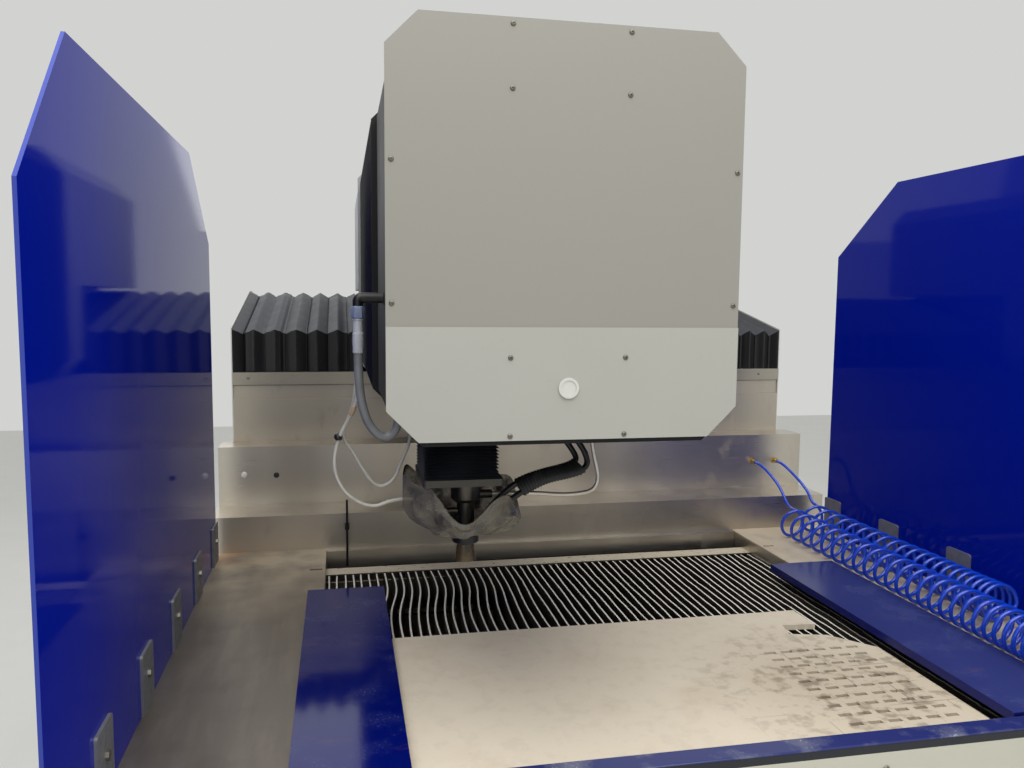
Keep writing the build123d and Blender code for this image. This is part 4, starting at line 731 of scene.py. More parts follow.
@dataclass(frozen=True)
class CoatedCloth(Finish):
    """Polyurethane-coated bellows cloth: black and slightly waxy. The welded ridges are drawn greyer, as
    wear and a painted highlight, and what faces up is drawn grey-blue, as dust and a painted highlight from
    the light overhead."""

    # Ridge grey: wear along the welded ridges, and a painted highlight where they catch the light
    ridge: str = "#2C2E33"
    # Grey-blue on what faces up: dust, and a painted highlight from the light overhead
    dusty: str = "#3B3F47"

    def detail(self, skin: Skin) -> None:
        """Adds the greyer ridges, which the mesh marks with its ridge attribute, as wear and a painted
        highlight;
        the grey-blue on what faces up, as dust and a painted highlight; and the creases.
        """
        mark = add_node(skin.tree, "ShaderNodeAttribute", attribute_name="ridge").outputs["Fac"]
        # Ridges drawn greyer: wear, and a painted highlight
        skin.lay(self.ridge, skin.share(mark, 0.86, 1.0, 0.7), skin.patches(22, 4, 0.45, 0.7))
        normal = add_node(skin.tree, "ShaderNodeNewGeometry").outputs["Normal"]
        parts = add_node(skin.tree, "ShaderNodeSeparateXYZ", {0: normal})
        # What faces up drawn grey-blue: dust, and a painted highlight from above
        film = skin.joined(skin.share(parts.outputs["Z"], 0.3, 0.9, 0.85), skin.patches(40, 5, 0.2, 0.6))
        skin.lay(self.dusty, film)
        skin.dull(film, 0.25)
        skin.emboss(skin.noise(7, 3), 0.5)


@dataclass(frozen=True)
class ClearFilm(Finish):
    """Polyethylene film or a thin moulded skirt: light goes through it, and slurry dulls it in patches."""

    alpha: float = 0.6
    murk: str = "#3B372F"

    def detail(self, skin: Skin) -> None:
        """Adds murky patches, which are also less clear, and fine crinkles."""
        murky = skin.patches(38, 6, 0.4, 0.62)
        skin.lay(self.murk, murky)
        skin.feed("Alpha", skin.joined(skin.joined(murky, 1 - self.alpha), self.alpha, by="ADD"))
        skin.emboss(skin.noise(12, 4), 1.6)


GUARD_BLUE = GlossEnamel("gloss_enamel_blue", "#02168A", 0.05, specular=0.2, ior=1.3, edge="#3A489C")
PLATE_BLUE = GlossEnamel(
    "gloss_enamel_blue_splashed",
    "#030F5E",
    0.08,
    specular=0.22,
    face=Facing.UP,
    edge="#0A1464",
    dust=0.17,
    rust=0.3,
    lean=0.32,
)
# The front rail's faces that don't look up or down take the near-black edge colour #24262C, so its front and
# ends read dark.
RAIL_BLUE = GlossEnamel(
    "gloss_enamel_blue_rail",
    "#2A3168",
    0.16,
    specular=0.35,
    face=Facing.UP,
    edge="#24262C",
    dust=1.0,
    film="#7C7E88",
)
# The two nose plates share one paint. The lower plate's copy is drawn lighter, #A7A69E against #8F8D84:
# painted light, for the light thrown up onto it from the pale bed below.
PLATE_GREY = PowderCoat("powder_coat_warm_grey", "#8F8D84", 0.42, amount=0.16)
LOWER_GREY_PAINTED_LIGHT = PowderCoat("powder_coat_warm_grey_lower_painted_light", "#A7A69E", 0.42, amount=0.12)
FRAME_GREY = PowderCoat("powder_coat_light_grey", "#B9B9B4", 0.5, amount=0.14)
PANEL_BEIGE = PowderCoat("powder_coat_pale_beige", "#C5C3B3", 0.5, amount=0.12)
HOUSING_GREY = PowderCoat("powder_coat_mid_grey", "#96989A", 0.5, amount=0.3)
HOUSING_BLACK = PowderCoat("powder_coat_black", "#0C0D0F", 0.55, film="#1E1F22", amount=0.4, specular=0.3)
STAINLESS = BrushedSheet("brushed_stainless", "#CAC3B7", 0.27, metallic=1.0, band="#989084", stained=0.2)
BEAM_STEEL = BrushedSheet(
    "brushed_stainless_cover", "#B3ACA0", 0.36, metallic=1.0, band="#A1988A", stained=0.2
)
CAP_STEEL = BrushedSheet("brushed_stainless_cap", "#A9A397", 0.3, metallic=1.0, band="#8F877A", stained=0.25)
TAB_STEEL = TurnedMetal("galvanised_plate", "#85868A", 0.45, metallic=0.6, film="#6A6862")
DECK_STEEL = WornPlate("hot_rolled_plate_worn", "#776F66", 0.4, metallic=0.6)
SLAT_STEEL = SlatSteel("galvanised_strip_worn", "#3A362F", 0.55, metallic=0.2)
COMB_STEEL = CakedSteel("steel_caked_with_garnet", "#575046", 0.6, metallic=0.5)
BOARD_CREAM = SoakedBoard("pressed_board_soaked", "#DACEB8", 0.85)
BELLOWS_BLACK = CoatedCloth("coated_cloth_black", "#0C0D0F", 0.45)
ZINC = TurnedMetal("zinc_plated_steel", "#A39F95", 0.32, metallic=1.0)
GROUND_STEEL = TurnedMetal("ground_steel", "#AEB1B3", 0.22, metallic=1.0, amount=0.15)
SCREW_STEEL = TurnedMetal("zinc_plated_steel_dull", "#7D7A71", 0.4, metallic=0.9, film="#55524A")
MILLED_ALUMINIUM = TurnedMetal("milled_aluminium", "#A7A8A6", 0.35, metallic=1.0, amount=0.2)
HEAD_MOUNT = TurnedMetal("black_oxide_steel", "#4B4842", 0.42, metallic=0.5, film="#5E594F")
HEAD_STEEL = TurnedMetal("turned_stainless", "#5F5B54", 0.34, metallic=1.0, amount=0.7)
TUBE_STEEL = TurnedMetal("drawn_stainless_tube", "#D2CDC3", 0.35, metallic=0.8, film="#A39D92")
BRASS = TurnedMetal("turned_brass", "#B59A62", 0.3, metallic=1.0, film="#6B5B3A")
NICKEL = TurnedMetal("nickel_plated_steel", "#C2C0BA", 0.18, metallic=1.0, amount=0.2)
HOSE_BLUE = MouldedPlastic(
    "extruded_polyurethane_blue", "#0E3FC0", 0.16, coat=0.5, film="#3C5A9C", amount=0.15
)
HOSE_WHITE = MouldedPlastic("extruded_nylon_white", "#C2BFB4", 0.35, amount=0.35)
HOSE_BLACK = MouldedPlastic("extruded_rubber_black", "#121315", 0.32, film="#3D3B37", amount=0.2)
SLEEVE_TAN = MouldedPlastic("moulded_nylon_tan", "#B09C80", 0.4, amount=0.4)
WRAP_BLACK = MouldedPlastic("ribbed_sleeve_black", "#191A1B", 0.45, film="#4B4842", amount=0.3)
CONDUIT_GREY = MouldedPlastic("extruded_vinyl_grey", "#77787A", 0.34, film="#4A4B4D", amount=0.35)
FITTING_BLUE = MouldedPlastic("moulded_nylon_slate", "#76809A", 0.4)
SLEEVE_PALE = MouldedPlastic("moulded_nylon_grey", "#B4B6BC", 0.4, amount=0.3)
BLACK_PLASTIC = MouldedPlastic("moulded_acetal_black", "#121213", 0.4, film="#4A463E", amount=0.4)
PLUG_GREY = MouldedPlastic("moulded_nylon_pale", "#C9C8C2", 0.4, amount=0.15)
MOTOR_BLACK = PowderCoat("powder_coat_dark", "#2A2B2E", 0.5, film="#4A4A4C")
BAG_FILM = ClearFilm("polyethylene_film_dirty", "#8F897B", 0.22, coat=0.25, alpha=0.4, murk="#47433B")
CUP_RUBBER = ClearFilm("moulded_polyurethane_olive", "#5C4D2B", 0.25, alpha=0.88, murk="#262013")

NODE_FINISHES: dict[Finish, tuple[str, ...]] = {
    STAINLESS: ("tank_shell", "rear_splash"),
    COMB_STEEL: ("slat_combs",),
    BEAM_STEEL: ("beam_cover",),
    CAP_STEEL: ("beam_caps",),
    DECK_STEEL: ("decks",),
    SLAT_STEEL: ("slats",),
    FRAME_GREY: ("machine_frame", "x_beam", "bellows_end_frames"),
    PANEL_BEIGE: ("body_panels",),
    TAB_STEEL: ("guard_tabs",),
    HOUSING_GREY: ("carriage_body", "carriage_housing"),
    HOUSING_BLACK: ("head_housing", "level_probe"),
    GUARD_BLUE: ("left_guard", "right_guard"),
    RAIL_BLUE: ("front_rail",),
    PLATE_BLUE: ("splash_plates",),
    PLATE_GREY: ("front_plate",),
    # The lower plate takes the lighter copy of the plate paint: painted light from the bed below
    LOWER_GREY_PAINTED_LIGHT: ("lower_plate",),
    PLUG_GREY: ("plate_plug",),
    ZINC: ("guard_bolts", "plate_screws", "leveling_feet"),
    BOARD_CREAM: ("support_board",),
    BRASS: ("hose_fittings",),
    GROUND_STEEL: ("x_rails", "y_rails", "z_rails", "x_bearing_blocks", "y_bearing_blocks"),
    MOTOR_BLACK: ("x_motor", "y_motor", "z_actuator"),
    BELLOWS_BLACK: ("x_bellows_left", "x_bellows_right", "y_bellows", "z_bellows"),
    MILLED_ALUMINIUM: ("ram", "z_slide"),
    HEAD_MOUNT: ("head_mount",),
    HEAD_STEEL: ("valve_body", "mixing_tube"),
    BLACK_PLASTIC: ("nozzle_collar",),
    CUP_RUBBER: ("nozzle_cup",),
    BAG_FILM: ("head_bag",),
    HOSE_BLUE: ("air_hose", "water_hose", "air_hose_coil", "water_hose_coil"),
    NICKEL: ("air_coupling", "water_coupling"),
    CONDUIT_GREY: ("conduit",),
    FITTING_BLUE: ("conduit_fitting",),
    HOSE_WHITE: ("return_hose", "feed_hose"),
    TUBE_STEEL: ("pressure_tube",),
    HOSE_BLACK: ("hose_bundle",),
}


def paint(piece: bpy.types.Object, finish: Finish) -> None:
    """Gives a piece its finish's material, in place of any that it came with."""
    piece.data.materials.clear()
    piece.data.materials.append(finish.material())


def paint_nodes() -> None:
    """Gives every CAD node its finish, in place of the plain one that it came with."""
    for finish, nodes in NODE_FINISHES.items():
        for node in nodes:
            paint(bpy.data.objects[node], finish)


def fit(
    piece: bpy.types.Object,
    finish: Finish,
    slot: str,
    body: str,
    *nodes: str,
    to: str = "z_head",
    lift: Route | None = None,
) -> None:
    """Finishes a new piece and puts it on one body; a piece that has a lift is left in place on no body.

    Args:
        piece: the piece.
        finish: its finish.
        slot: not used.
        body: the body that it rides, where it has no lift.
        *nodes: the plain CAD nodes whose place it takes.
        to: not used.
        lift: where it is given, the piece stays off every body; its places are not used.
    """
    paint(piece, finish)
    if nodes:
        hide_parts(*nodes)
    if lift is None:
        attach(piece, body)
    else:
        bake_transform(piece)


# The studio


@dataclass
class Studio:
    """The camera at the photograph's viewing angle, a plain pale floor, and soft light."""

    eye: tuple[float, float, float] = (-0.573, -2.1545, 1.600)
    turn: tuple[float, float, float] = (84.4913, -0.5051, -11.3866)
    lens_mm: float = 29.88
    sensor_mm: float = 36.0
    sight: float = 60.0
    floor_half: float = 9.0
    floor_drop: float = 0.0005
    floor_colour: str = "#D8D8D4"
    sky_colour: str = "#D2D3D1"
    sky_light: float = 0.65

    def set_camera(self) -> None:
        """Puts the camera where the photographer's eye was, and makes it the scene's."""
        data = bpy.data.cameras.new("camera")
        data.lens = self.lens_mm
        data.sensor_width = self.sensor_mm
        data.clip_end = self.sight
        camera = linked("camera", data)
        camera.location = self.eye
        camera.rotation_euler = [math.radians(angle) for angle in self.turn]
        bpy.context.scene.camera = camera

    def lay_floor(self) -> None:
        """Lays the floor as a wide flat grid just under the feet, as smooth painted concrete."""
        side = np.linspace(-self.floor_half, self.floor_half, 3)
        across, along = np.meshgrid(side, side, indexing="ij")
        points = np.stack([across, along, np.full_like(across, -self.floor_drop)], 2).reshape(-1, 3)
        mesh = bpy.data.meshes.new("floor")
        mesh.from_pydata(points.tolist(), [], faces_of(3, 3, False, False).tolist())
        floor = linked("floor", mesh)
        paint(floor, PowderCoat("painted_concrete_pale", self.floor_colour, 0.7, amount=0.05))

    def hang_sky(self) -> None:
        """Makes the sky: rays from the camera, mirrors and glass see its pale colour, and all others a plain
        white light."""
        world = bpy.data.worlds.new("sky")
        world.use_nodes = True
        tree = world.node_tree
        tree.nodes.clear()
        path = add_node(tree, "ShaderNodeLightPath")
        seen = path.outputs["Is Camera Ray"]
        for ray in ("Is Glossy Ray", "Is Transmission Ray"):
            both = {0: seen, 1: path.outputs[ray]}
            seen = add_node(tree, "ShaderNodeMath", both, operation="MAXIMUM").outputs[0]
        lit = add_node(tree, "ShaderNodeBackground", {0: linear("#FFFFFF"), 1: self.sky_light})
        shown = add_node(tree, "ShaderNodeBackground", {0: linear(self.sky_colour), 1: 1.0})
        sky = add_node(tree, "ShaderNodeMixShader", {0: seen, 1: lit.outputs[0], 2: shown.outputs[0]})
        add_node(tree, "ShaderNodeOutputWorld", {0: sky.outputs[0]})
        bpy.context.scene.world = world
        bpy.context.scene.view_settings.view_transform = "Standard"

    @staticmethod
    def hang_lamps() -> None:
        """Hangs four broad soft lamps, each aimed at the machine. Places and sizes are in metres, and powers
        in watts."""
        for name, spot, aim, size, power in (
            ("ceiling_lamp", (-0.3, -1.8, 3.9), (0.0, -0.3, 0.9), 3.4, 112.0),
            ("front_lamp", (-2.4, -3.8, 2.0), (0.0, 0.2, 0.9), 2.4, 6.0),
            ("right_lamp", (3.4, -1.4, 2.6), (0.0, 0.2, 0.9), 2.2, 30.0),
            ("rear_lamp", (-1.2, 3.6, 3.2), (0.0, 0.3, 0.9), 2.6, 16.0),
        ):
            data = bpy.data.lights.new(name, "AREA")
            data.size = size
            data.energy = power
            lamp = linked(name, data)
            lamp.location = spot
            way = Vector(aim) - Vector(spot)
            lamp.rotation_euler = way.to_track_quat("-Z", "Y").to_euler()


# Hoses


@dataclass
class RecoilHose:
    """A springy blue hose: a lead from its brass bulkhead fitting, a helix along the right deck, and a short
    tail into its quick coupling."""

    kind: str
    lead: Route
    tail: Route
    middle: tuple[float, float]
    span: tuple[float, float]
    turns: float
    length: float
    radius: float = 4.5
    coil_radius: float = 42.3
    crowding: float = 0.55
    sway: float = 1.2
    sways: float = 5.1
    first_angle: float = 45.0
    points_per_turn: int = 12
    curve_steps: int = 4

    def helix(self) -> np.ndarray:
        """Works out the helix's control points: at turn t the point has gone 360 t degrees back round the
        coil's middle from its first angle. Its place along the deck goes from the rear end to the front end
        as s + c s (1 - s), so that the rear turns stand further apart, and the coil sways a little sideways.

        Returns:
            One row for each point, in machine millimetres.
        """
        turn = np.arange(1, int(self.turns * self.points_per_turn)) / self.points_per_turn
        angle = np.radians(self.first_angle - 360 * turn)
        share = turn / self.turns
        forward = share + self.crowding * share * (1 - share)
        sway = self.sway * np.sin(self.sways * share * math.pi + len(self.kind))
        x = self.middle[0] + self.coil_radius * np.cos(angle) + sway
        y = self.span[0] + (self.span[1] - self.span[0]) * forward
        z = self.middle[1] + self.coil_radius * np.sin(angle)
        return np.stack([x, y, z], 1)

    def build(self) -> None:
        route = places(np.vstack([self.lead, self.helix(), self.tail]))
        hose = nurbs(f"{self.kind}_recoil_hose", route, self.radius / 1000, self.curve_steps)
        fit(hose, HOSE_BLUE, "blue_hose", "base", f"{self.kind}_hose", f"{self.kind}_hose_coil")
        LOG.info("%s recoil hose with %d points", self.kind, len(route))


@dataclass
class HeadHose:
    """A hose or tube near the cutting head, which goes back into the machine at both ends."""

    name: str
    route: Route
    radius: float
    length: float
    finish: Finish
    slot: str
    node: str
    lift: Route | None = None
    stiffness: str = "medium"
    sides: int = 20

    def build(self) -> np.ndarray:
        """Makes the hose as a mesh tube. It rides the arm, or, where it has a lift, stays in place on no
        body.

        Returns:
            Points along its middle, in metres.
        """
        line = smooth_line(self.name, places(self.route))
        hose = shell(self.name, tube_grid(line, self.radius / 1000, self.sides, TUBE_ACROSS))
        fit(hose, self.finish, self.slot, "y_arm", self.node, lift=self.lift)
        LOG.info("%s: %.3f m along its line", self.name, run_along(line)[-1])
        return line


@dataclass
class HoseWrap:
    """A ribbed sleeve round the two black hoses, from just past their turn to a place on their way to the
    head: an ellipse round both, whose long half is half the hoses' distance plus some slack. Evenly spaced
    ribs swell it by a few hundredths, and its ends draw in."""

    start: float = 0.012
    end_x: float = -0.258
    rib: float = 0.006
    swell: float = 0.05
    draw: float = 0.12
    drawn_past: float = 0.985
    slack: float = 0.007
    thin_half: float = 0.0075
    steps: int = 90
    sides: int = 32

    def wrapped(self, line: np.ndarray) -> np.ndarray:
        """Cuts the wrapped part out of a hose's line.

        Args:
            line: points along the hose's middle, in metres.

        Returns:
            Evenly spaced points along the part.
        """
        run = run_along(line)
        turn = run[np.argmax(line[:, 0])]
        last = run[np.argmin(np.abs(line[:, 0] - self.end_x) + 10 * (run < turn))]
        at = np.linspace(turn + self.start, last, self.steps)
        return np.stack([np.interp(at, run, line[:, axis]) for axis in range(3)], 1)

    def build(self, *lines: np.ndarray) -> None:
        """Makes the sleeve.

        Args:
            *lines: points along each hose's middle, in metres.
        """
        first, second = (self.wrapped(line) for line in lines)
        middle, apart = (first + second) / 2, (first - second) / 2
        along, wide = unit(np.gradient(middle, axis=0)), unit(apart)
        wide = unit(wide - along * np.sum(along * wide, axis=1, keepdims=True))
        thin = np.cross(along, wide)
        swell = 1 + self.swell * np.sin(run_along(middle) * 2 * math.pi / self.rib)
        swell *= 1 - self.draw * (np.abs(np.linspace(-1, 1, self.steps)) > self.drawn_past)
        long_half = (np.linalg.norm(apart, axis=1) + self.slack) * swell
        angle = around(self.sides)[None, :, None]
        across = long_half[:, None, None] * wide[:, None] * np.cos(angle)
        over = (self.thin_half * swell)[:, None, None] * thin[:, None] * np.sin(angle)
        sleeve = shell("black_hose_wrap", middle[:, None] + across + over, 50.0)
        fit(sleeve, WRAP_BLACK, "black_hose", "y_arm", lift=BUNDLE_LIFT)


@dataclass
class Plumbing:
    """Every hose of the machine: the two recoil hoses on the deck, and those round the cutting head."""

    fittings: tuple[float, float] = (754.0, 833.0)
    coil_middles: tuple[float, float] = (757.0, 849.5)
    lead_start: float = 126.0
    fitting_z: float = 186.0
    coil_z: float = 46.5
    tail_z: float = 10.5
    conduit: tuple[float, float] = (-544.0, -960.0)
    hose_top: float = 626.0
    elbow_rise: float = 79.0
    feed_z: float = 347.0
    tie_at: tuple[float, float, float] = (-578.5, -901.0, 462.0)
    tie_half: tuple[float, float, float] = (7.5, 14.0, 7.5)
    sleeve_span: tuple[float, float] = (498.0, 520.0)
    sleeve_radius: float = 0.0046
    elbow_radius: float = 0.0088
    strap_half: tuple[float, float] = (9.0, 17.0)

    def recoil_hoses(self) -> list[RecoilHose]:
        """Lists the two blue hoses with the routes of their leads and tails.

        Returns:
            The air hose, and the shorter water hose.
        """
        start, high, coil, low = self.lead_start, self.fitting_z, self.coil_z, self.tail_z
        x, near = self.fittings[0], self.coil_middles[0]
        air_lead = [(x, start, high), (x, start - 25, high), (x + 14, 60, 164), (x + 30, 10, 124)]
        air_lead += [(near + 28, -34, coil + 30), (near + 28, -70, coil + 28), (near + 28, -92, coil + 28)]
        air_tail = [(near + 20, -1140, coil - 20), (near + 20, -1156, coil - 20)]
        air_tail += [(near + 19, -1176, low), (near + 19, -1195, low)]
        x, far = self.fittings[1], self.coil_middles[1]
        water_lead = [(x, start, high), (x, start - 25, high), (x + 16, 66, 164), (x + 34, -8, 118)]
        water_lead += [(far + 24, -26, coil + 34), (far + 24, -52, coil + 34)]
        water_tail = [(far + 16, -838, coil - 22), (far + 16, -860, coil - 22)]
        water_tail += [(far + 14, -884, low), (far + 14, -908, low)]
        return [
            RecoilHose("air", air_lead, air_tail, (near, coil), (-92.0, -1140.0), 28.25, 7.68),
            RecoilHose("water", water_lead, water_tail, (far, coil), (-52.0, -838.0), 21.25, 5.85),
        ]

    def white_hoses(self) -> list[HeadHose]:
        """Lists the two thin white hoses that leave the conduit's fitting: the return hose goes back up into
        the arm, and the feed hose into the head.

        Returns:
            The return hose and the feed hose.
        """
        (x, y), top, feed = self.conduit, self.hose_top, self.feed_z
        back = [(x - 3, y + 26, top), (x - 3, y + 26, 552), (-555, y + 52, 506), (-575, y + 70, 464)]
        back += [(-554, y + 84, 432), (-537, y + 90, 398), (-512, y + 94, 360), (-480, y + 96, 370)]
        back += [(-464, y + 98, 412), (-448, y + 100, 446), (-448, y + 100, ARM_Z[0])]
        down = [(x + 3, y + 16, top), (x + 2, y + 16, 552), (-553, y + 36, 508), (-580, y + 54, 460)]
        down += [(-589, y + 55, 404), (-566, y + 56, 356), (-520, y + 57, 332), (-486, NOZZLE_Y, feed)]
        down += [(-440, NOZZLE_Y, feed), (-418, NOZZLE_Y, 322), (-387, NOZZLE_Y, 322)]
        lift = [(-589, NOZZLE_Y, 420), (-470, NOZZLE_Y, 347)]
        return [
            HeadHose("white_return_hose", back, 3.0, 0.44, HOSE_WHITE, "white_hose", "return_hose"),
            HeadHose("white_feed_hose", down, 3.0, 0.475, HOSE_WHITE, "white_hose", "feed_hose", lift),
        ]

    def stiff_hoses(self) -> list[HeadHose]:
        """Lists the grey conduit's loop and the bent high-pressure tube.

        Returns:
            The two of them.
        """
        (x, y), top, low = self.conduit, self.hose_top, ARM_Z[0]
        loop = [(x, y, top), (x, y, 576), (-540, y, 530), (-529, y, 492)]
        loop += [(-506, y, 466), (-482, y, 474), (-478, y, 496)]
        tube = [(-118, NOZZLE_Y, low), (-118, NOZZLE_Y, 440), (-94, NOZZLE_Y, 352)]
        tube += [(-160, NOZZLE_Y, 342), (-232, NOZZLE_Y, 351), (-305, NOZZLE_Y, 351)]
        lift = [(-100, NOZZLE_Y, 470), (-290, NOZZLE_Y, 345)]
        conduit = (CONDUIT_GREY, "conduit_plastic", "conduit", None, "stiff")
        pressure = (TUBE_STEEL, "tube_steel", "pressure_tube", lift, "stiff")
        return [
            HeadHose("conduit_loop", loop, 7.5, 0.213, *conduit),
            HeadHose("bent_pressure_tube", tube, 4.0, 0.328, *pressure),
        ]

    @staticmethod
    def black_hoses() -> list[HeadHose]:
        """Lists the two black hoses that turn back under the arm and dive to the nozzle.

        Returns:
            The upper hose and the lower one.
        """
        low = ARM_Z[0]
        upper = [(-172, -880, low), (-172, -880, 456), (-150, -888, 428), (-141, -898, 406)]
        upper += [(-166, -906, 396), (-218, -914, 390), (-262, -919, 374), (-296, -920, 346)]
        upper += [(-320, -920, 318), (-335, -919, 290)]
        lower = [(-148, -894, low), (-148, -894, 452), (-128, -903, 424), (-124, -911, 396)]
        lower += [(-158, -914, 386), (-210, -922, 377), (-260, -929, 356), (-298, -932, 326)]
        lower += [(-322, -930, 304), (-344, -925, 294)]
        shared = (HOSE_BLACK, "black_hose", "hose_bundle", BUNDLE_LIFT)
        return [
            HeadHose("black_hose_1", upper, 5.5, 0.321, *shared),
            HeadHose("black_hose_2", lower, 5.5, 0.336, *shared),
        ]

    def fit_conduit(self) -> None:
        """Makes the conduit's fitting: a black elbow out of the housing, a hexagon nut, a sleeve with a lip
        at each end, a cuff round the conduit's own end, and the strap that holds the two white hoses.
        Profiles are rows of radius and height over the hoses' top."""
        (x, y), top = self.conduit, self.hose_top
        rise = top + self.elbow_rise
        turned = [(-503, y, rise), (x + 14, y, rise), (x, y, rise), (x, y, rise - 15), (x, y, rise - 29)]
        line = smooth_line("conduit_elbow", places(turned))
        elbow = shell("conduit_elbow", tube_grid(line, self.elbow_radius, 24, np.array([0.0, 1.0, 0.0])))
        fit(elbow, BLACK_PLASTIC, "black_plastic", "y_arm", "conduit_fitting")
        nut = [(0.1, 44), (9.6, 44), (10.4, 46), (10.4, 63), (9.6, 65), (0.1, 65)]
        flats = np.array([False, False, True, True, False, False])
        sleeve = [(0.1, 16), (9.2, 16), (9.2, 20), (7.9, 21), (7.9, 41), (9.2, 42), (9.2, 45), (0.1, 45)]
        cuff = [(7.7, -14), (8.9, -13), (9.3, -10), (8.7, -8), (9.3, -6), (8.7, -4), (9.3, -2)]
        cuff += [(9.0, 17), (7.7, 17)]
        strap = lathe_grid([(1.0, 2.0), (1.0, 12.0)], 40) * (*self.strap_half, 1.0) + (-1.0, 18.0, 0.0)
        for name, make, grid, finish, slot in (
            ("conduit_nut", shell, lathe_grid(nut, 48, flats), FITTING_BLUE, "fitting_plastic"),
            ("conduit_sleeve", shell, lathe_grid(sleeve, 32), SLEEVE_PALE, "fitting_plastic"),
            ("conduit_cuff", ring, lathe_grid(cuff, 32), SLEEVE_PALE, "fitting_plastic"),
            ("hose_strap", shell, strap, BLACK_PLASTIC, "black_plastic"),
        ):
            piece = make(name, places(grid + np.array([x, y, top])))
            fit(piece, finish, slot, "y_arm", "conduit_fitting")

    def tie_white_hoses(self, feed: np.ndarray) -> None:
        """Ties the two white hoses together where they part, and puts a tan sleeve on the feed hose.

        Args:
            feed: points along the feed hose's middle, in metres.
        """
        turn = np.linspace(-math.pi / 2, math.pi / 2, 15)
        ball = lathe_grid(np.stack([np.cos(turn), np.sin(turn)], 1), 28)
        knot = shell("hose_tie", places(ball * np.array(self.tie_half) + np.array(self.tie_at)), 60.0)
        fit(knot, BLACK_PLASTIC, "black_plastic", "y_arm")
        height = feed[:, 2] * 1000 - DECK_HEIGHT
        part = feed[(height > self.sleeve_span[0]) & (height < self.sleeve_span[1])]
        sleeve = shell("feed_hose_sleeve", tube_grid(part, self.sleeve_radius, 24, TUBE_ACROSS))
        fit(sleeve, SLEEVE_TAN, "fitting_plastic", "y_arm")

    def build(self) -> None:
        """Makes all the hoses, and what holds them."""
        for hose in self.recoil_hoses():
            hose.build()
        conduit, pressure = self.stiff_hoses()
        near_head = [conduit, *self.white_hoses(), pressure, *self.black_hoses()]
        lines = {hose.name: hose.build() for hose in near_head}
        self.fit_conduit()
        self.tie_white_hoses(lines["white_feed_hose"])
        HoseWrap().build(lines["black_hose_1"], lines["black_hose_2"])


# Pleated covers


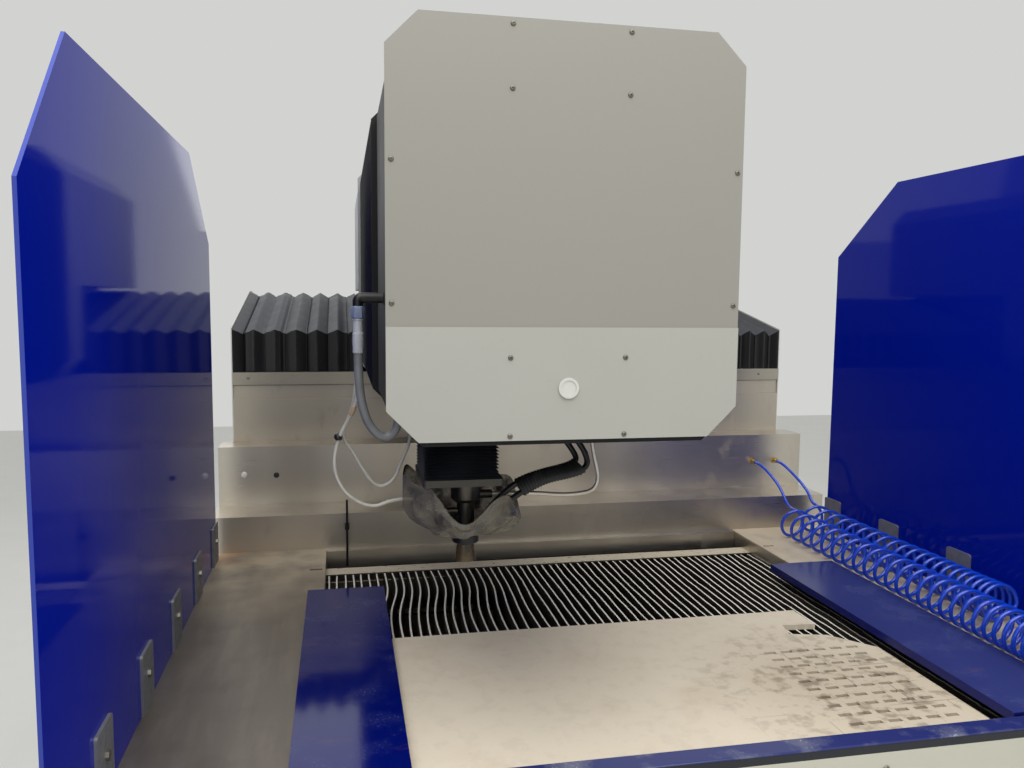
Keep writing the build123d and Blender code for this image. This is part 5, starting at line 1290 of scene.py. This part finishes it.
@dataclass
class PleatedCover:
    """A pleated cover of coated cloth, made in lengths that each lie between a fixed and a moving body."""

    name: str
    node: str
    axis: int
    outline: np.ndarray
    ridges: np.ndarray
    leg: float
    fixed: str
    moving: str
    unevenness: float
    lengths: tuple[int, ...]
    flat_low: bool = False
    wall: float = 1.2
    side_steps: int = 4

    PHASES = np.array([0.0, 0.03, 0.12, 0.25, 0.38, 0.47, 0.5, 0.53, 0.62, 0.75, 0.88, 0.97])
    DEPTHS = np.array([0.0, 0.03, 0.23, 0.5, 0.77, 0.97, 1.0, 0.97, 0.77, 0.5, 0.23, 0.03])

    def corners(self) -> tuple[np.ndarray, np.ndarray]:
        """Gives the outline's points and, for each, how far it moves when the outline shrinks by 1: at a
        corner that is the sum of the two sides' normals over 1 plus their product, and between corners it
        is spread evenly. A cover that lies on a beam keeps its lower side flat.

        Returns:
            Points and moves, each a row for each point round the section.
        """
        after = unit(np.roll(self.outline, -1, 0) - self.outline)
        normal = np.stack([after[:, 1], -after[:, 0]], 1)
        middle = self.outline.mean(0)
        if np.einsum("ij,ij->", normal, self.outline - middle) < 0:
            normal = -normal
        before = np.roll(normal, 1, 0)
        mitre = (normal + before) / (1 + np.einsum("ij,ij->i", normal, before))[:, None]
        share = np.arange(self.side_steps)[None, :, None] / self.side_steps
        if self.flat_low:
            mitre[self.outline[:, 1] == self.outline[:, 1].min(), 1] = 0.0
        points = self.outline[:, None] * (1 - share) + np.roll(self.outline, -1, 0)[:, None] * share
        moves = mitre[:, None] * (1 - share) + np.roll(mitre, -1, 0)[:, None] * share
        return points.reshape(-1, 2), moves.reshape(-1, 2)

    def folds(self, first: int, last: int) -> tuple[np.ndarray, np.ndarray, np.ndarray]:
        """Works out the rows between two ridges: where each is along the axis, how deep it is folded in, and
        how near it is to a ridge. A fold's depth is the height of a triangle with two legs of the cloth's
        length over the distance between its ridges.

        Args:
            first: the number of the ridge that the length starts at.
            last: the number of the ridge that it ends at.

        Returns:
            Places along the axis, depths and ridge marks, one for each row.
        """
        start, stop = self.ridges[first:last], self.ridges[first + 1 : last + 1]
        depth = np.sqrt(self.leg**2 - (np.abs(stop - start) / 2) ** 2)
        along = (start[:, None] + (stop - start)[:, None] * self.PHASES[None, :]).ravel()
        deep = (depth[:, None] * self.DEPTHS[None, :]).ravel()
        mark = np.tile(1 - self.DEPTHS, last - first)
        return np.append(along, self.ridges[last]), np.append(deep, 0.0), np.append(mark, 1.0)

    def weights(self) -> np.ndarray:
        """Works out each ridge's share of the moving body's travel: it grows with the distance from the
        fixed end, at half the rate in the first and the last fold.

        Returns:
            A share from 0 to 1 for each ridge.
        """
        steps = np.abs(np.diff(self.ridges))
        steps[[0, -1]] *= 0.5
        return np.append(0.0, np.cumsum(steps)) / steps.sum()

    def blend_ends(self, first: int, last: int) -> tuple[float, float]:
        """Finds where a length's blend would start and end for its own ends to move by their ridges' shares.
        The blend follows s = 3 t^2 - 2 t^3, which is turned round as t = 0.5 - sin(asin(1 - 2 s) / 3).

        Args:
            first: the ridge at the length's start.
            last: the ridge at its end.

        Returns:
            The blend's start and end along the axis.
        """
        share = self.weights()[[first, last]]
        t = 0.5 - np.sin(np.arcsin(np.clip(1 - 2 * share, -1, 1)) / 3)
        reach = (self.ridges[last] - self.ridges[first]) / (t[1] - t[0])
        start = self.ridges[first] - t[0] * reach
        return start, start + reach

    def layer(self, along: np.ndarray, inward: np.ndarray) -> np.ndarray:
        """Places one side of the cloth.

        Args:
            along: each row's place along the axis.
            inward: how far each row lies inside the outline.

        Returns:
            Rows by the points round the section by 3, in machine millimetres.
        """
        points, moves = self.corners()
        made = np.zeros((len(along), len(points), 3))
        made[..., [i for i in range(3) if i != self.axis]] = points - moves * inward[:, None, None]
        made[..., self.axis] = along[:, None]
        return made

    def build(self) -> None:
        """Makes the cover's lengths, each a closed skin with an outer and an inner side."""
        rng = np.random.default_rng(len(self.name))
        first = 0
        for number, count in enumerate(self.lengths):
            last = first + count
            along, deep, mark = self.folds(first, last)
            deep = deep + self.unevenness * rng.normal(size=len(along)) * (1 - mark)
            grid = np.concatenate([self.layer(along, deep), self.layer(along, deep + self.wall)[::-1]])
            piece = ring(f"{self.name}_{number + 1}", places(grid), 25.0)
            ridge = piece.data.attributes.new("ridge", "FLOAT", "POINT")
            marks = np.repeat(np.append(mark, np.zeros_like(mark)), grid.shape[1])
            ridge.data.foreach_set("value", marks.astype(np.float32))
            ends = np.zeros((2, 3))
            ends[:, self.axis] = self.blend_ends(first, last)
            hung = {"to": self.moving, "lift": ends.tolist()}
            fit(piece, BELLOWS_BLACK, "bellows_cloth", self.fixed, self.node, **hung)
            first = last
        LOG.info("%s in %d lengths", self.name, len(self.lengths))


def octagon(half: float, z: tuple[float, float], cut: float) -> np.ndarray:
    """Gives the corners of the arm's octagon, a rectangle with its corners cut off.

    Args:
        half: half its width.
        z: its lower and upper height.
        cut: how far along each side a corner is cut.

    Returns:
        Eight rows of X and Z.
    """
    low, high, near = z[0], z[1], half - cut
    corners = [(-half, low + cut), (-near, low), (near, low), (half, low + cut)]
    corners += [(half, high - cut), (near, high), (-near, high), (-half, high - cut)]
    return np.array(corners) + (ARM_X, 0.0)


def split(*middle: int) -> tuple[int, ...]:
    """Says how many folds each length of a cover has: few near its ends, where they differ most."""
    return (1, 1, 2, *middle, 2, 1, 1)


def covers() -> list[PleatedCover]:
    """Lists the machine's four pleated covers.

    Returns:
        The two over the beam, the one round the arm, and the one round the lift.
    """
    beam = np.array([(254.0, 483.0), (254.0, 611.0), (812.0, 727.0), (892.0, 727.0), (892.0, 483.0)])
    lift_box = np.array([(-438.0, -1005.0), (-310.0, -1005.0), (-310.0, -855.0), (-438.0, -855.0)])
    arm = octagon(ARM_HALF + COVER_OUT, ARM_Z, ARM_CHAMFER)
    loose, tight = np.linspace(-891.7, -519.7, 7), np.linspace(-519.7, -400.3, 15)
    left, right = np.append(loose, tight[1:]), np.linspace(891.7, -59.7, 19)
    down, up = np.linspace(111.7, -756.7, 33), np.linspace(481.7, 400.3, 15)
    x, y, z = ("base", "x_carriage"), ("x_carriage", "y_arm"), ("y_arm", "z_head")
    return [
        PleatedCover("left_beam_cover", "x_bellows_left", 0, beam, left, 35.0, *x, 1.8, split(12), True),
        PleatedCover("right_beam_cover", "x_bellows_right", 0, beam, right, 35.0, *x, 1.8, split(10), True),
        PleatedCover("arm_cover", "y_bellows", 1, arm, down, 20.0, *y, 0.25, split(4, 16, 4)),
        PleatedCover("lift_cover", "z_bellows", 2, lift_box, up, 12.5, *z, 0.1, split(6)),
    ]


# The bed


@dataclass
class SlatBed:
    """The bed's upright strips, worn uneven along their upper edges. Those left of the middle are bowed
    where jets and heavy sheets have pushed them."""

    count: int = 59
    pitch: float = 21.0
    thick: float = 4.0
    low: float = -110.0
    high: float = -40.0
    front: float = -1205.0
    rear: float = -95.0
    held: float = 60.0
    bowed: tuple[float, float, float, float] = (1.0, 8.0, 16.0, 27.0)
    bow: float = 25.0
    bow_line: tuple[tuple[float, float], ...] = (
        (-1178.0, 0.0),
        (-900.0, -0.4),
        (-640.0, -0.95),
        (-520.0, -1.0),
        (-440.0, -0.85),
        (-360.0, -0.4),
        (-290.0, 0.1),
        (-220.0, 0.15),
        (-125.0, 0.0),
    )
    sway: float = 1.3
    sway_run: float = 600.0
    sways: tuple[float, float] = (1.5, 3.5)
    steps: int = 140
    fine_steps: int = 400
    bell_steps: int = 61
    smoothing: int = 7
    wear: float = 1.6
    worn: float = 0.35
    seed: int = 7

    def bow_shape(self, along: np.ndarray) -> np.ndarray:
        """Rounds the bow's line off by a bell-shaped average over fine steps.

        Args:
            along: places from front to rear.

        Returns:
            The shape at each place, from 1 to the right to -1 to the left.
        """
        fine = np.linspace(self.front, self.rear, self.fine_steps)
        bell = np.hanning(self.bell_steps)
        bell /= bell.sum()
        line = np.pad(np.interp(fine, *np.array(self.bow_line).T), self.bell_steps // 2, "edge")
        return np.interp(along, fine, np.convolve(line, bell, "valid"))

    def build(self) -> None:
        """Makes all the strips as one piece: each is a bar whose section is carried from front to rear. Its
        middle follows the bow's line times the strip's own share, and a slow sine of its own. The share
        rises from 0 to 1 over the first bowed strips and falls to 0 over the last, as 3 s s - 2 s s s. Its
        upper edge follows seeded noise that is smoothed over seven steps."""
        rng = np.random.default_rng(self.seed)
        along = np.linspace(self.front, self.rear, self.steps)
        shape, low = self.bow_shape(along), np.full(self.steps, self.low)
        from_ends = np.minimum(along - self.front, self.rear - along)
        free = np.clip(from_ends / self.held, 0, 1)
        average = np.ones(self.smoothing) / self.smoothing
        strips = []
        for number in range(self.count):
            share = np.interp(number, self.bowed, (0, 1, 1, 0))
            share = share * share * (3 - 2 * share)
            phase, waves = rng.uniform(0, 2 * math.pi), rng.uniform(*self.sways)
            sway = self.sway * np.sin(waves * math.pi * (along - self.front) / self.sway_run + phase)
            middle = self.pitch * (number - (self.count - 1) / 2)
            middle = middle + (self.bow * share * shape + sway) * free
            rough = np.convolve(rng.normal(size=self.steps + self.smoothing - 1), average, "valid")
            top = self.high - self.wear * np.clip(rough + self.worn, 0, 2)
            left, right = middle - self.thick / 2, middle + self.thick / 2
            corners = [(left, low), (right, low), (right, top), (left, top)]
            strips.append(places(np.stack([np.stack([x, along, z], 1) for x, z in corners], 1)))
        fit(gathered("jet_worn_slats", strips), SLAT_STEEL, "slat_steel", "base", "slats")
        LOG.info("slats: %d strips", self.count)


# Small hardware


class Side(Enum):
    """The level direction that a face looks in, as X and Y."""

    FRONT = (0.0, -1.0)
    LEFT = (-1.0, 0.0)
    RIGHT = (1.0, 0.0)


@dataclass(frozen=True)
class ButtonScrews:
    """Button-head screws with a hexagon socket."""

    radius: float
    height: float
    socket: float
    socket_depth: float = 1.5
    dome_turn: float = 0.72
    dome_steps: int = 6
    sides: int = 24

    def head(self) -> np.ndarray:
        """Turns a low dome round its axis, then goes down into a six-sided socket.

        Returns:
            The head's grid, standing on the face that it is screwed to.
        """
        turn = np.linspace(0, math.pi / 2, self.dome_steps)
        dome = np.stack([self.radius * np.cos(turn * self.dome_turn), self.height * np.sin(turn)], 1)
        inner = [(self.socket, self.height), (self.socket, self.height - self.socket_depth)]
        profile = np.vstack([[(self.radius, 0.0)], dome, inner])
        return lathe_grid(profile, self.sides, np.arange(len(profile)) >= len(profile) - 2)

    def fasten(self, name: str, side: Side, spots: Route, body: str, *nodes: str) -> None:
        """Makes one piece of the screw heads that face one way. A head's own x lies along the face, its y
        upwards, and its height points away from the face.

        Args:
            name: the new piece's name.
            side: the way they face.
            spots: where each head sits, on the face that it is screwed to.
            body: the body that they ride.
            *nodes: the plain CAD nodes whose place they take.
        """
        x, y = side.value
        turned = self.head() @ np.array([[-y, x, 0.0], [0.0, 0.0, 1.0], [x, y, 0.0]])
        heads = gathered(name, [places(turned + np.array(spot)) for spot in spots], 40.0)
        fit(heads, SCREW_STEEL, "fastener_steel", body, *nodes)
        LOG.info("%s: %d", name, len(spots))


@dataclass
class Hardware:
    """The screws on the nose plates, the beam's covers and the body panels, and what closes the splash."""

    screw: ButtonScrews = ButtonScrews(radius=4.2, height=2.2, socket=1.5)
    wide_screw: ButtonScrews = ButtonScrews(radius=6.5, height=3.2, socket=2.2)
    near: float = 91.0
    far: float = 269.0
    near_rows: tuple[float, float] = (1105.0, 1013.0)
    far_rows: tuple[float, float] = (904.0, 697.0)
    lower_rows: tuple[float, float] = (616.0, 496.0)
    cap_row: tuple[float, float] = (248.0, 465.0)
    cap_span: tuple[float, float] = (-847.0, 819.0)
    panel_front: float = -1249.0
    panel_side: float = 883.0
    panel_half: float = 850.0
    front_rows: tuple[float, float] = (-712.0, -45.0)
    side_rows: tuple[float, float] = (-712.0, -150.0)
    side_span: tuple[float, float] = (-1189.0, -65.0)

    def screw_plates(self) -> None:
        """Screws the two plates to the arm's nose, and the cap strips to the beam."""
        spots = []
        for apart, face, rows in (
            (self.near, PLATE_FACE, self.near_rows),
            (self.far, PLATE_FACE, self.far_rows),
            (self.near, LOWER_FACE, self.lower_rows),
        ):
            spots += [(ARM_X + side * apart, face, z) for side in (-1, 1) for z in rows]
        self.screw.fasten("nose_plate_screws", Side.FRONT, spots, "y_arm", "plate_screws")
        caps = [(x, *self.cap_row) for x in np.linspace(*self.cap_span, 6)]
        self.screw.fasten("beam_cap_screws", Side.FRONT, caps, "base")

    @staticmethod
    def trim_splash() -> None:
        """Closes the hole in the rear splash with a black rubber plug, and puts a pale cap on the bolt
        beside it. Profiles are rows of radius and height out of the splash."""
        plug = [(0.1, -3.0), (6.0, -3.0), (6.0, 0.0), (8.2, 0.0), (8.2, 1.2), (6.4, 2.4), (0.1, 2.8)]
        cap = [(0.1, 0.4), (8.6, 0.4), (8.6, 4.4), (7.4, 6.0), (4.0, 7.2), (0.1, 7.6)]
        for name, profile, spot, finish, slot in (
            ("splash_plug", plug, (-762.0, 148.0, 186.0), BLACK_PLASTIC, "black_plastic"),
            ("splash_bolt_cap", cap, (-852.0, 148.0, 190.0), PLUG_GREY, "plug_plastic"),
        ):
            grid = lathe_grid(profile, 36)
            grid = np.stack([grid[..., 0], -grid[..., 2], grid[..., 1]], 2) + np.array(spot)
            fit(shell(name, places(grid)), finish, slot, "base")

    def fix_panels(self) -> None:
        """Screws the body panels to the frame: a row along the top and one along the foot of each."""
        across, along = np.linspace(-self.panel_half, self.panel_half, 7), np.linspace(*self.side_span, 5)
        front = [(x, self.panel_front, z) for x in across for z in self.front_rows]
        self.wide_screw.fasten("panel_screws_front", Side.FRONT, front, "base")
        for side in (Side.LEFT, Side.RIGHT):
            x = side.value[0] * self.panel_side
            spots = [(x, y, z) for y in along for z in self.side_rows]
            self.wide_screw.fasten(f"panel_screws_{side.name.lower()}", side, spots, "base")

    def build(self) -> None:
        """Makes all the hardware."""
        self.screw_plates()
        self.trim_splash()
        self.fix_panels()


@dataclass
class CrumpledBag:
    """A clear plastic bag that is gathered round the cutting head and tied over the collar: an open bowl,
    crumpled all over, whose rim dips in front of the nozzle and where hoses come in. A dip or a lobe has its
    angle, its depth and its width."""

    low: float = 284.0
    neck: float = 17.0
    reach: tuple[float, float] = (106.0, 84.0)
    shift: float = -6.0
    rim: tuple[float, float] = (384.0, 364.0)
    dips: tuple[tuple[float, float, float], ...] = (
        (-1.63, 58.0, 0.42),
        (-0.22, 50.0, 0.42),
        (3.14, 44.0, 0.13),
        (1.9, 12.0, 0.3),
        (2.75, -16.0, 0.22),
        (-2.8, -12.0, 0.2),
        (0.55, -14.0, 0.22),
    )
    lobes: tuple[tuple[float, float, float], ...] = ((-2.3, 8.0, 0.5), (-0.75, 5.0, 0.4), (1.5, 4.0, 0.7))
    powers: tuple[float, float] = (0.85, 1.15)
    film: float = 0.5
    film_rise: float = 0.8
    crumple: tuple[float, float] = (5.5, 3.85)
    creases_out: tuple[int, int] = (9, 5)
    creases_up: tuple[int, int] = (7, 9)
    fade: tuple[float, float] = (0.62, 0.8)
    rows: int = 64
    columns: int = 200
    tie_turns: int = 3
    tie_span: tuple[float, float] = (-1.0, 9.0)
    tie_inner: float = 0.6
    tie_outer: float = 2.4
    tie_bulge: float = 1.3

    @staticmethod
    def bells(angle: np.ndarray, bumps: tuple[tuple[float, float, float], ...]) -> np.ndarray:
        """Adds up bell curves round the bag, each depth times exp(-(turn / width)^2), where turn is the
        angle from the bump's own.

        Args:
            angle: the angles where the sum is wanted.
            bumps: an angle, a depth and a width for each bump.

        Returns:
            The sum at each angle, in millimetres.
        """
        total = np.zeros_like(angle)
        for middle, depth, width in bumps:
            turn = np.angle(np.exp(1j * (angle - middle)))
            total += depth * np.exp(-((turn / width) ** 2))
        return total

    @staticmethod
    def creases(s: np.ndarray, angle: np.ndarray, folds: int, seed: int) -> np.ndarray:
        """Adds up triangle waves that run across the film in seeded directions, which gives flat facets with
        sharp creases between them. Each wave is 4 |t - floor(t) - 0.5| - 1, where t counts whole turns
        round the bag plus turns up its side.

        Args:
            s: each row's share of the way from the neck to the rim.
            angle: each column's angle round the bag.
            folds: how many waves there are.
            seed: the seed of their directions.

        Returns:
            Rows by columns, from about -1 to 1.
        """
        rng = np.random.default_rng(seed)
        total = np.zeros(np.broadcast(s, angle).shape)
        for _ in range(folds):
            laps = int(rng.integers(3, 11)) * (1 if rng.random() > 0.5 else -1)
            up, start = rng.uniform(-2.5, 2.5), rng.uniform()
            turn = laps * angle / (2 * math.pi) + up * s + start
            total += (4 * np.abs(turn - np.floor(turn) - 0.5) - 1) / math.sqrt(folds)
        return total

    def skin(self) -> np.ndarray:
        """Works out the film's outer side. With s from 0 at the neck to 1 at the rim, the radius grows as
        sin(s pi / 2) and the height as 1 - cos(s pi / 2), each to a power near 1. Lobes lower the middle of
        the side, the rim tilts with X and dips as a bell curve at some angles, and creases move the film.

        Returns:
            Rows by columns by 3, in millimetres.
        """
        s, angle = np.linspace(0, 1, self.rows)[:, None], around(self.columns)[None, :]
        open_out = np.sin(s * math.pi / 2) ** self.powers[0]
        rise = (1 - np.cos(s * math.pi / 2)) ** self.powers[1]
        rim = self.rim[1] + (self.rim[0] - self.rim[1]) * (1 - np.cos(angle)) / 2
        rim = rim - self.bells(angle, self.dips)
        in_out = self.crumple[0] * self.creases(s, angle, *self.creases_out)
        in_out *= np.sin(s * math.pi * self.fade[0]) ** self.fade[1]
        up_down = self.crumple[1] * self.creases(s, angle, *self.creases_up) * s
        grow = self.neck + (np.array(self.reach)[:, None, None] - self.neck) * open_out + in_out
        sag = self.bells(angle, self.lobes) * np.sin(s * math.pi)
        z = self.low + (rim - self.low) * rise - sag + up_down
        x = NOZZLE_X + self.shift * open_out + grow[0] * np.cos(angle)
        y = NOZZLE_Y + grow[1] * np.sin(angle)
        return np.stack([x, y, z], 2)

    def tie(self) -> None:
        """Winds a black band round the bag's neck: a coil of flat turns as one lathed ring with a ridge for
        each turn."""
        share = np.linspace(0, 1, 6 * self.tie_turns + 1)
        first, last = (self.low + end for end in self.tie_span)
        bulge = self.tie_bulge * np.abs(np.sin(share * self.tie_turns * math.pi))
        outer = np.stack([self.neck + self.tie_outer + bulge, first + (last - first) * share], 1)
        inner = [(self.neck + self.tie_inner, last), (self.neck + self.tie_inner, first)]
        grid = lathe_grid(np.vstack([outer, inner]), 48) + np.array([NOZZLE_X, NOZZLE_Y, 0.0])
        fit(ring("bag_tie", places(grid), 50.0), BLACK_PLASTIC, "black_plastic", "z_head")

    def build(self) -> None:
        """Makes the bag, whose inner side lies inwards and up from the outer one, and its tie."""
        outer = self.skin()
        inward = np.array([NOZZLE_X + self.shift, NOZZLE_Y, 0.0]) - outer
        inward[..., 2] = self.film_rise * np.linalg.norm(inward[..., :2], axis=2)
        inner = outer + self.film * unit(inward)
        bag = ring("crumpled_bag", places(np.concatenate([outer, inner[::-1]])), 22.0)
        fit(bag, BAG_FILM, "bag_plastic", "z_head", "head_bag")
        self.tie()
        LOG.info("bag: %d faces", len(bag.data.polygons))


def main() -> None:
    """Builds the scene: the frame, the camera, the hoses, then the other pieces."""
    logging.basicConfig(level=logging.INFO, format="%(name)s: %(message)s")
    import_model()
    studio = Studio()
    studio.set_camera()
    Plumbing().build()
    paint_nodes()
    for cover in covers():
        cover.build()
    SlatBed().build()
    Hardware().build()
    CrumpledBag().build()
    studio.lay_floor()
    studio.hang_sky()
    studio.hang_lamps()


if __name__ == "__main__":
    main()
